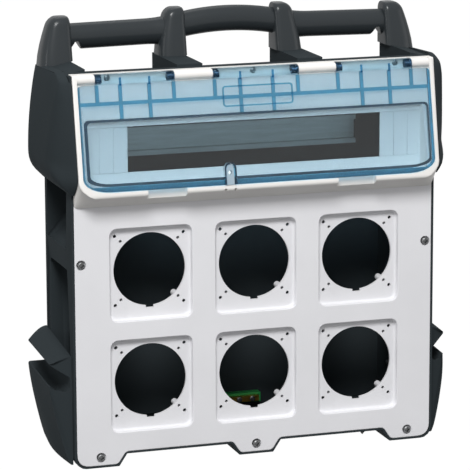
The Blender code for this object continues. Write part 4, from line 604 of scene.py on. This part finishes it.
# Hood: a white moulded frame that slopes out over the module row, with a chin, finger grips and
# half-round hinge bars, screwed to the shell along its top.
hinge_depth, hinge_z, hinge_turn = 0.003583, 0.469, 78.35
hinge = Matrix.Translation((0, front_y + hinge_depth, hinge_z)) @ Matrix.Rotation(radians(hinge_turn), 4, "X")
to_hinge = hinge.inverted()
hinge_inset = 0.0057
slack = 0.0003
opening_top, lowered = 0.4280, 0.0055
grip_high, grip_floor, grip_slope = -0.1318, -0.0043, 0.0037
least_edge = 0.003
hood = solid_of("hood")
for vert in hood.verts:
    if abs(vert.co.z - opening_top) < slack:
        vert.co.z -= lowered
for vert in hood.verts:
    spot = to_hinge @ vert.co
    if abs(spot.y - grip_high) < slack and abs(spot.z - grip_floor) < slack:
        vert.co = hinge @ (spot + Vector((0, 0, grip_slope)))
middle = Vector((0, -0.060))
outer_edges = []
for edge in hood.edges:
    if not is_sharp(edge, 40) or not edge.is_convex:
        continue
    ends = [to_hinge @ vert.co for vert in edge.verts]
    is_on_face = all(abs(end.z - hinge_inset) < slack for end in ends)
    centre = (ends[0] + ends[1]) / 2
    outward = sum((to_hinge.to_3x3() @ face.normal for face in edge.link_faces), Vector())
    is_outer = Vector(outward[:2]).dot(Vector(centre[:2]) - middle) > 0
    if is_on_face and is_outer and edge.calc_length() > least_edge:
        outer_edges.append(edge)
weigh(hood, outer_edges, 1.0)
# ABS from a polished mould: a warm white, smooth, with hardly any shine
hood_white = moulded_plastic("white_abs", "#E5E3E0", roughness=0.4, grain_mm=2.0, grain_depth_mm=0.01,
                             shine=0.1)
add_piece("hood_moulding", hood, hood_white, "box", "hood_plastic", "hood",
          rounding=0.0025, segments=3, sharp=36)
# The same plastic painted a paler white for the plate and strips behind the flap, painted light that keeps
# them bright through the blue flap, and blue-grey for the eyelet, painted shade
painted_lit_white = moulded_plastic("painted_lit_white_abs", "#F1EFEC", roughness=0.4, grain_mm=2.0, grain_depth_mm=0.01,
                              shine=0.1)
# The eyelet's blue-grey is painted shade on the hood's white, where it stands in the flap's slot
eyelet_painted_shade = moulded_plastic("painted_shade_grey_abs", "#9DAFBB", roughness=0.4, grain_mm=2.0, grain_depth_mm=0.01)
for name in ("lock_eyelet", "module_plate", "blank_strip_left", "blank_strip_right"):
    trim = solid_of(name)
    weigh(trim, [edge for edge in trim.edges if is_sharp(edge) and edge.calc_length() > 0.001], 1.0)
    finish = eyelet_painted_shade if name == "lock_eyelet" else painted_lit_white
    add_piece(f"{name}_moulding", trim, finish, "box", "hood_plastic", name, rounding=0.0003, is_held=True)


# Flap: clear blue polycarbonate, moulded in one piece with its hinge leaves and raised window. Its
# sloping window walls, ribs and rims are looked at along the plastic; the dark lines this gives them are
# painted into their finishes, as painted shade.
def clear_polycarbonate(name, seen_hex, shade_hex, roughness, bending=1.45, clearness=1.0):
    """Clear tinted plastic: glossy, tinted where it is looked through, and open to lamp light."""
    made, tree, output = new_material(name)
    body = add_node(tree, "ShaderNodeBsdfPrincipled", {
        "Base Color": linear(seen_hex), "Roughness": roughness, "IOR": bending,
        "Transmission Weight": clearness})
    passed = add_node(tree, "ShaderNodeBsdfTransparent", {"Color": linear(shade_hex)})
    path = add_node(tree, "ShaderNodeLightPath")
    mixed = add_node(tree, "ShaderNodeMixShader",
                     {0: path.outputs["Is Shadow Ray"], 1: body.outputs[0], 2: passed.outputs[0]})
    tree.links.new(mixed.outputs[0], output.inputs["Surface"])
    return made


plate_back = 0.0027
window_front = 0.0082
window_low, window_high = -0.1259, -0.0479
window_half, end_slope_start = 0.2144, 0.180
lock_x = -0.0407
lock_half = 0.0078
top_slope, low_slope = 0.0026, 0.0032
rib_spread, rib_top, rib_side, rib_past = 0.0012, -0.009, 0.212, 0.003
long_rib_low, long_rib_high, long_rib_lift, long_rib_side = -0.0344, -0.0320, 0.0042, 0.217
same_depth = 0.0002
window_inset = 0.001


def is_on_rib(vert, wall):
    """Whether a point of a wall lies among the ribs, clear of the flap's skirt, window and hinge leaves."""
    past = rib_past if abs(wall.normal.x) > 0.9 else 0.0
    side = long_rib_side if abs(wall.normal.y) > 0.9 else rib_side
    return abs(vert.co.x) < side and window_high - past < vert.co.y < rib_top + past


flap = solid_of("flap")
flap.transform(to_hinge)
for vert in flap.verts:
    if long_rib_low < vert.co.y < long_rib_high:
        vert.co.y += long_rib_lift
    is_lock = abs(vert.co.x - lock_x) < lock_half and vert.co.y > window_low + window_inset
    if abs(vert.co.z - window_front) < same_depth and not is_lock:
        is_low = vert.co.y < (window_low + window_high) / 2
        inward = low_slope * clamp((abs(vert.co.x) - end_slope_start) / (window_half - end_slope_start))
        vert.co.y += low_slope if is_low else -top_slope
        vert.co.x -= inward if vert.co.x > 0 else -inward
flap.normal_update()
for vert in flap.verts:
    wall_normals = []
    for face in vert.link_faces:
        depths = [corner.co.z for corner in face.verts]
        is_behind = min(depths) < plate_back - same_depth and max(depths) < plate_back + same_depth
        is_new = not any(face.normal.dot(other) > 0.9 for other in wall_normals)
        if is_behind and abs(face.normal.z) < 0.5 and is_new and is_on_rib(vert, face):
            wall_normals.append(face.normal.copy())
    vert.co += sum(wall_normals, Vector()) * rib_spread
bmesh.ops.bisect_plane(flap, geom=flap.verts[:] + flap.edges[:] + flap.faces[:],
                       plane_co=(0, window_low, 0), plane_no=(0, 1, 0), dist=1e-6)
flap.normal_update()
clear, deep, line, lip, leaf, hollow, knuckle = range(7)
leaf_start = -0.0067
knuckle_half = 0.0085
knuckle_places = [sign * x for x in (0.0531, 0.101, 0.1971) for sign in (-1, 1)]
# Walls, ribs, the lip and the knuckles take the finishes painted dark: painted shade
for face in flap.faces:
    spot = face.calc_center_median()
    low = min(vert.co.z for vert in face.verts)
    high = max(vert.co.z for vert in face.verts)
    is_wall = abs(face.normal.z) < 0.95
    is_raised = low > hinge_inset + slack and not abs(high - window_front) < same_depth
    is_rib = high < plate_back - same_depth or is_wall and low < plate_back - same_depth
    is_inside = (abs(spot.x) < window_half - window_inset
                 and window_low + window_inset < spot.y < window_high - window_inset)
    if spot.y > leaf_start:
        is_knuckle = min(abs(spot.x - x) for x in knuckle_places) < knuckle_half
        face.material_index = knuckle if is_knuckle else leaf
    elif is_wall and low > hinge_inset - slack or low > window_front + same_depth:
        face.material_index = deep
    elif is_wall and is_inside and high < hinge_inset + slack:
        face.material_index = hollow
    elif spot.y < window_low:
        face.material_index = lip
    elif is_raised or is_rib or is_wall and spot.y < window_high:
        face.material_index = line
flap.transform(hinge)
# Polycarbonate from a polished mould: clear and pale blue through the plate. The window's edges, the ribs
# and the knuckles are painted deep blue and teal, painted shade for the dark of the plastic looked along,
# and the lip below the window a darker teal, painted shade as well. The finishes of the leaves and of the
# window's hollow bend light little, and so stay clear, and those of the knuckles and of the window's edges
# are mostly opaque, their dark painted shade.
flap_finishes = [
    clear_polycarbonate("clear_blue_polycarbonate", "#A9B8C0", "#E2ECF2", roughness=0.03),
    clear_polycarbonate("edge_on_painted_shade_polycarbonate", "#143246", "#C2D3DD", roughness=0.2, clearness=0.25),
    clear_polycarbonate("ribbed_painted_shade_polycarbonate", "#1F6F92", "#D2E0E8", roughness=0.05),
    clear_polycarbonate("lipped_painted_shade_polycarbonate", "#437C93", "#C2D3DD", roughness=0.05),
    clear_polycarbonate("hinged_polycarbonate", "#A6BAC3", "#D2DEE5", roughness=0.05, bending=1.02),
    clear_polycarbonate("hollowed_polycarbonate", "#E6EEF2", "#FFFFFF", roughness=0.02, bending=1.02),
    clear_polycarbonate("knuckle_painted_shade_polycarbonate", "#3C5770", "#C2D3DD", roughness=0.25, clearness=0.25),
]
flap_piece = add_piece("flap_moulding", flap, flap_finishes[0], "flap", "clear_polycarbonate", "flap")
for finish in flap_finishes[1:]:
    flap_piece.data.materials.append(finish)
# The ribs run on over the hinge leaves as low ridges, painted a clear middle blue, painted shade of the
# plastic looked along
leaf_rib_finish = clear_polycarbonate("leaf_rib_painted_shade_polycarbonate", "#78B6DA", "#D2E0E8", roughness=0.05,
                                      bending=1.02)
leaf_rib_places = (-0.1676, -0.1321, -0.0203, 0.0203, 0.1321, 0.1676)
leaf_rib_half = 0.0014
leaf_rib_low, leaf_rib_high = -0.0085, 0.0008
leaf_rib_back, leaf_rib_front = 0.0056, 0.0060
leaf_rib_section = [(leaf_rib_low, leaf_rib_back), (leaf_rib_low, leaf_rib_front),
                    (leaf_rib_high, leaf_rib_front), (leaf_rib_high, leaf_rib_back)]
leaf_ribs = new_shape()
for x in leaf_rib_places:
    sides = (x - leaf_rib_half, x + leaf_rib_half)
    loft(leaf_ribs, [[hinge @ Vector((side_x, y, z)) for y, z in leaf_rib_section] for side_x in sides])
add_piece("flap_leaf_ribs", leaf_ribs, leaf_rib_finish, "flap", "clear_polycarbonate")
facing = hinge.to_3x3() @ Vector((0, 0, 1))
for polygon in flap_piece.data.polygons:
    polygon.use_smooth = polygon.use_smooth and abs(polygon.normal.dot(facing)) < 0.999


# Panel and hood screws: plated steel pan heads with a cross recess, dark ones sunk in the panel and
# brighter ones behind the flap's leaves, painted light that makes up for the shade there.
def plated_metal(name, hex_colour, roughness, streak_mm):
    """Plated metal: a dull shine with streaks along X in its colour and its sheen."""
    streak_sheen = 0.1
    made, tree, output = new_material(name)
    place = add_node(tree, "ShaderNodeTexCoord").outputs["Object"]
    drawn = add_node(tree, "ShaderNodeMapping", {"Vector": place, "Scale": (0.1, 1.0, 1.0)})
    streaks = add_node(tree, "ShaderNodeTexNoise", {
        "Vector": drawn.outputs[0], "Scale": 1000 / streak_mm, "Detail": 3.0})
    sheen = add_node(tree, "ShaderNodeMapRange", {
        "Value": streaks.outputs["Fac"], "To Min": roughness - streak_sheen,
        "To Max": roughness + streak_sheen})
    base = Vector(linear(hex_colour)[:3])
    darker, lighter = (*base * 0.7, 1), (*base * 1.2, 1)
    tint = add_node(tree, "ShaderNodeMix", {0: streaks.outputs["Fac"], 6: darker, 7: lighter},
                    data_type="RGBA")
    shader = add_node(tree, "ShaderNodeBsdfPrincipled", {
        "Base Color": tint.outputs[2], "Roughness": sheen.outputs[0], "Metallic": 1.0})
    tree.links.new(shader.outputs[0], output.inputs["Surface"])
    return made


def screw(place, depth, head, head_height, length):
    """Pan-head screw with a cross recess, its head's underside at a depth and its shank running back."""
    flat_share, shank_share = 0.62, 0.38
    shape = new_shape()
    radius = head / 2
    arm, slim = radius * 0.6, radius * 0.26
    cross = [(arm, -slim), (arm, slim), (slim, slim), (slim, arm), (-slim, arm), (-slim, slim), (-arm, slim),
             (-arm, -slim), (-slim, -slim), (-slim, -arm), (slim, -arm), (slim, -slim)]
    cross = [(place[0] + x, place[1] + z) for x, z in cross]
    top = depth - head_height
    flat = add_loop(shape, at_depth(circle(place, radius * flat_share, 24), top))
    recess = add_loop(shape, at_depth(cross, top))
    fill(shape, flat + recess)
    bmesh.ops.contextual_create(shape, geom=sink(shape, recess, head_height * 0.6))
    profile = [(0.86, 0.18), (1.0, 0.5), (1.0, 1.0), (shank_share, 1.0)]
    previous = flat
    for share, drop in profile:
        ring = add_loop(shape, at_depth(circle(place, radius * share, 24), top + head_height * drop))
        bmesh.ops.bridge_loops(shape, edges=previous + ring)
        previous = ring
    end = add_loop(shape, at_depth(circle(place, radius * shank_share, 24), depth + length))
    bmesh.ops.bridge_loops(shape, edges=previous + end)
    bmesh.ops.contextual_create(shape, geom=end)
    bmesh.ops.recalc_face_normals(shape, faces=shape.faces)
    return shape


# Zinc plating, darker on the panel, and paler on the hood screws under the flap: painted light for the
# shade behind the leaves
steel = plated_metal("dark_plated_steel", "#6E6F70", roughness=0.42, streak_mm=4.0)
painted_light_steel = plated_metal("painted_light_plated_steel", "#B9BCBE", roughness=0.42, streak_mm=4.0)
head_gap = 0.0003
for i, place in enumerate(panel_screws, 1):
    piece = screw(place, sink_depth - head_gap, head=0.0096, head_height=0.004, length=0.011)
    add_piece(f"panel_screw_{i}_turned", piece, steel, "box", "screw_steel", f"panel_screw_{i}")
hood_screw_x, hood_screw_depth = 0.180, 0.0120
for i, x in enumerate((-hood_screw_x, 0.0, hood_screw_x), 1):
    piece = screw((x, hinge_z), hood_screw_depth, head=0.007, head_height=0.0022, length=0.008)
    add_piece(f"hood_screw_{i}_turned", piece, painted_light_steel, "box", "screw_steel", f"hood_screw_{i}")


# Top-hat rail: a strip of galvanised sheet steel rolled to a hat section, screwed to brackets behind the
# slot. The zinc gives it a dull pale grey with long streaks.
def prism(points, reach):
    """Solid swept straight from a flat outline."""
    shape = new_shape()
    loops = [add_loop(shape, [Vector(point) for point in points]),
             add_loop(shape, [Vector(point) + Vector(reach) for point in points])]
    bmesh.ops.bridge_loops(shape, edges=loops[0] + loops[1])
    for loop in loops:
        bmesh.ops.contextual_create(shape, geom=loop)
    bmesh.ops.recalc_face_normals(shape, faces=shape.faces)
    return shape


rail_zinc = plated_metal("galvanised_steel", "#CFD7D5", roughness=0.42, streak_mm=5.0)
rail_half, rail_z = 0.145, 0.384
flange_near, flange_back, web_near, web_back = 0.0517, 0.0527, 0.0582, 0.0592
flange_half, hat_outer, hat_inner = 0.0175, 0.0125, 0.0115
upper = [(web_back, hat_outer), (flange_back, hat_outer), (flange_back, flange_half),
         (flange_near, flange_half), (flange_near, hat_inner), (web_near, hat_inner)]
rail = upper + [(d, -z) for d, z in reversed(upper)]
rail_shape = prism([(-rail_half, front_y + d, rail_z + z) for d, z in rail], (2 * rail_half, 0, 0))
weigh(rail_shape, [edge for edge in rail_shape.edges
                   if is_sharp(edge) and edge.calc_length() > rail_half], 1.0)
add_piece("rail_strip", rail_shape, rail_zinc, "box", "rail_zinc", "din_rail", rounding=0.0004)

# Remaining pieces inside the box and under it, left as their solids: screws, pins and brackets in plated
# steel, a brass bar on a green terminal base, and the rubber seal and drain plug.
#
# Bare brass is a warm yellow with fine streaks, rubber a matt black, and the polyamide a plain green
brass = plated_metal("bare_brass", "#C9A24A", roughness=0.35, streak_mm=3.0)
rubber = moulded_plastic("black_rubber", "#1C1D1E", roughness=0.7, grain_mm=1.5, grain_depth_mm=0.03)
earth_green = moulded_plastic("green_polyamide", "#2E8B4A", roughness=0.45, grain_mm=1.5, grain_depth_mm=0.02)
for name, node in nodes.items():
    if "_screw_" in name or name.startswith("hinge_pin"):
        finish = steel
    elif name.startswith("rail_bracket"):
        finish = rail_zinc
    elif name == "earth_bus_bar":
        finish = brass
    elif name in ("panel_seal", "drain_plug"):
        finish = rubber
    elif name == "earth_terminal_base":
        finish = earth_green
    else:
        continue
    node.data.materials.clear()
    node.data.materials.append(finish)
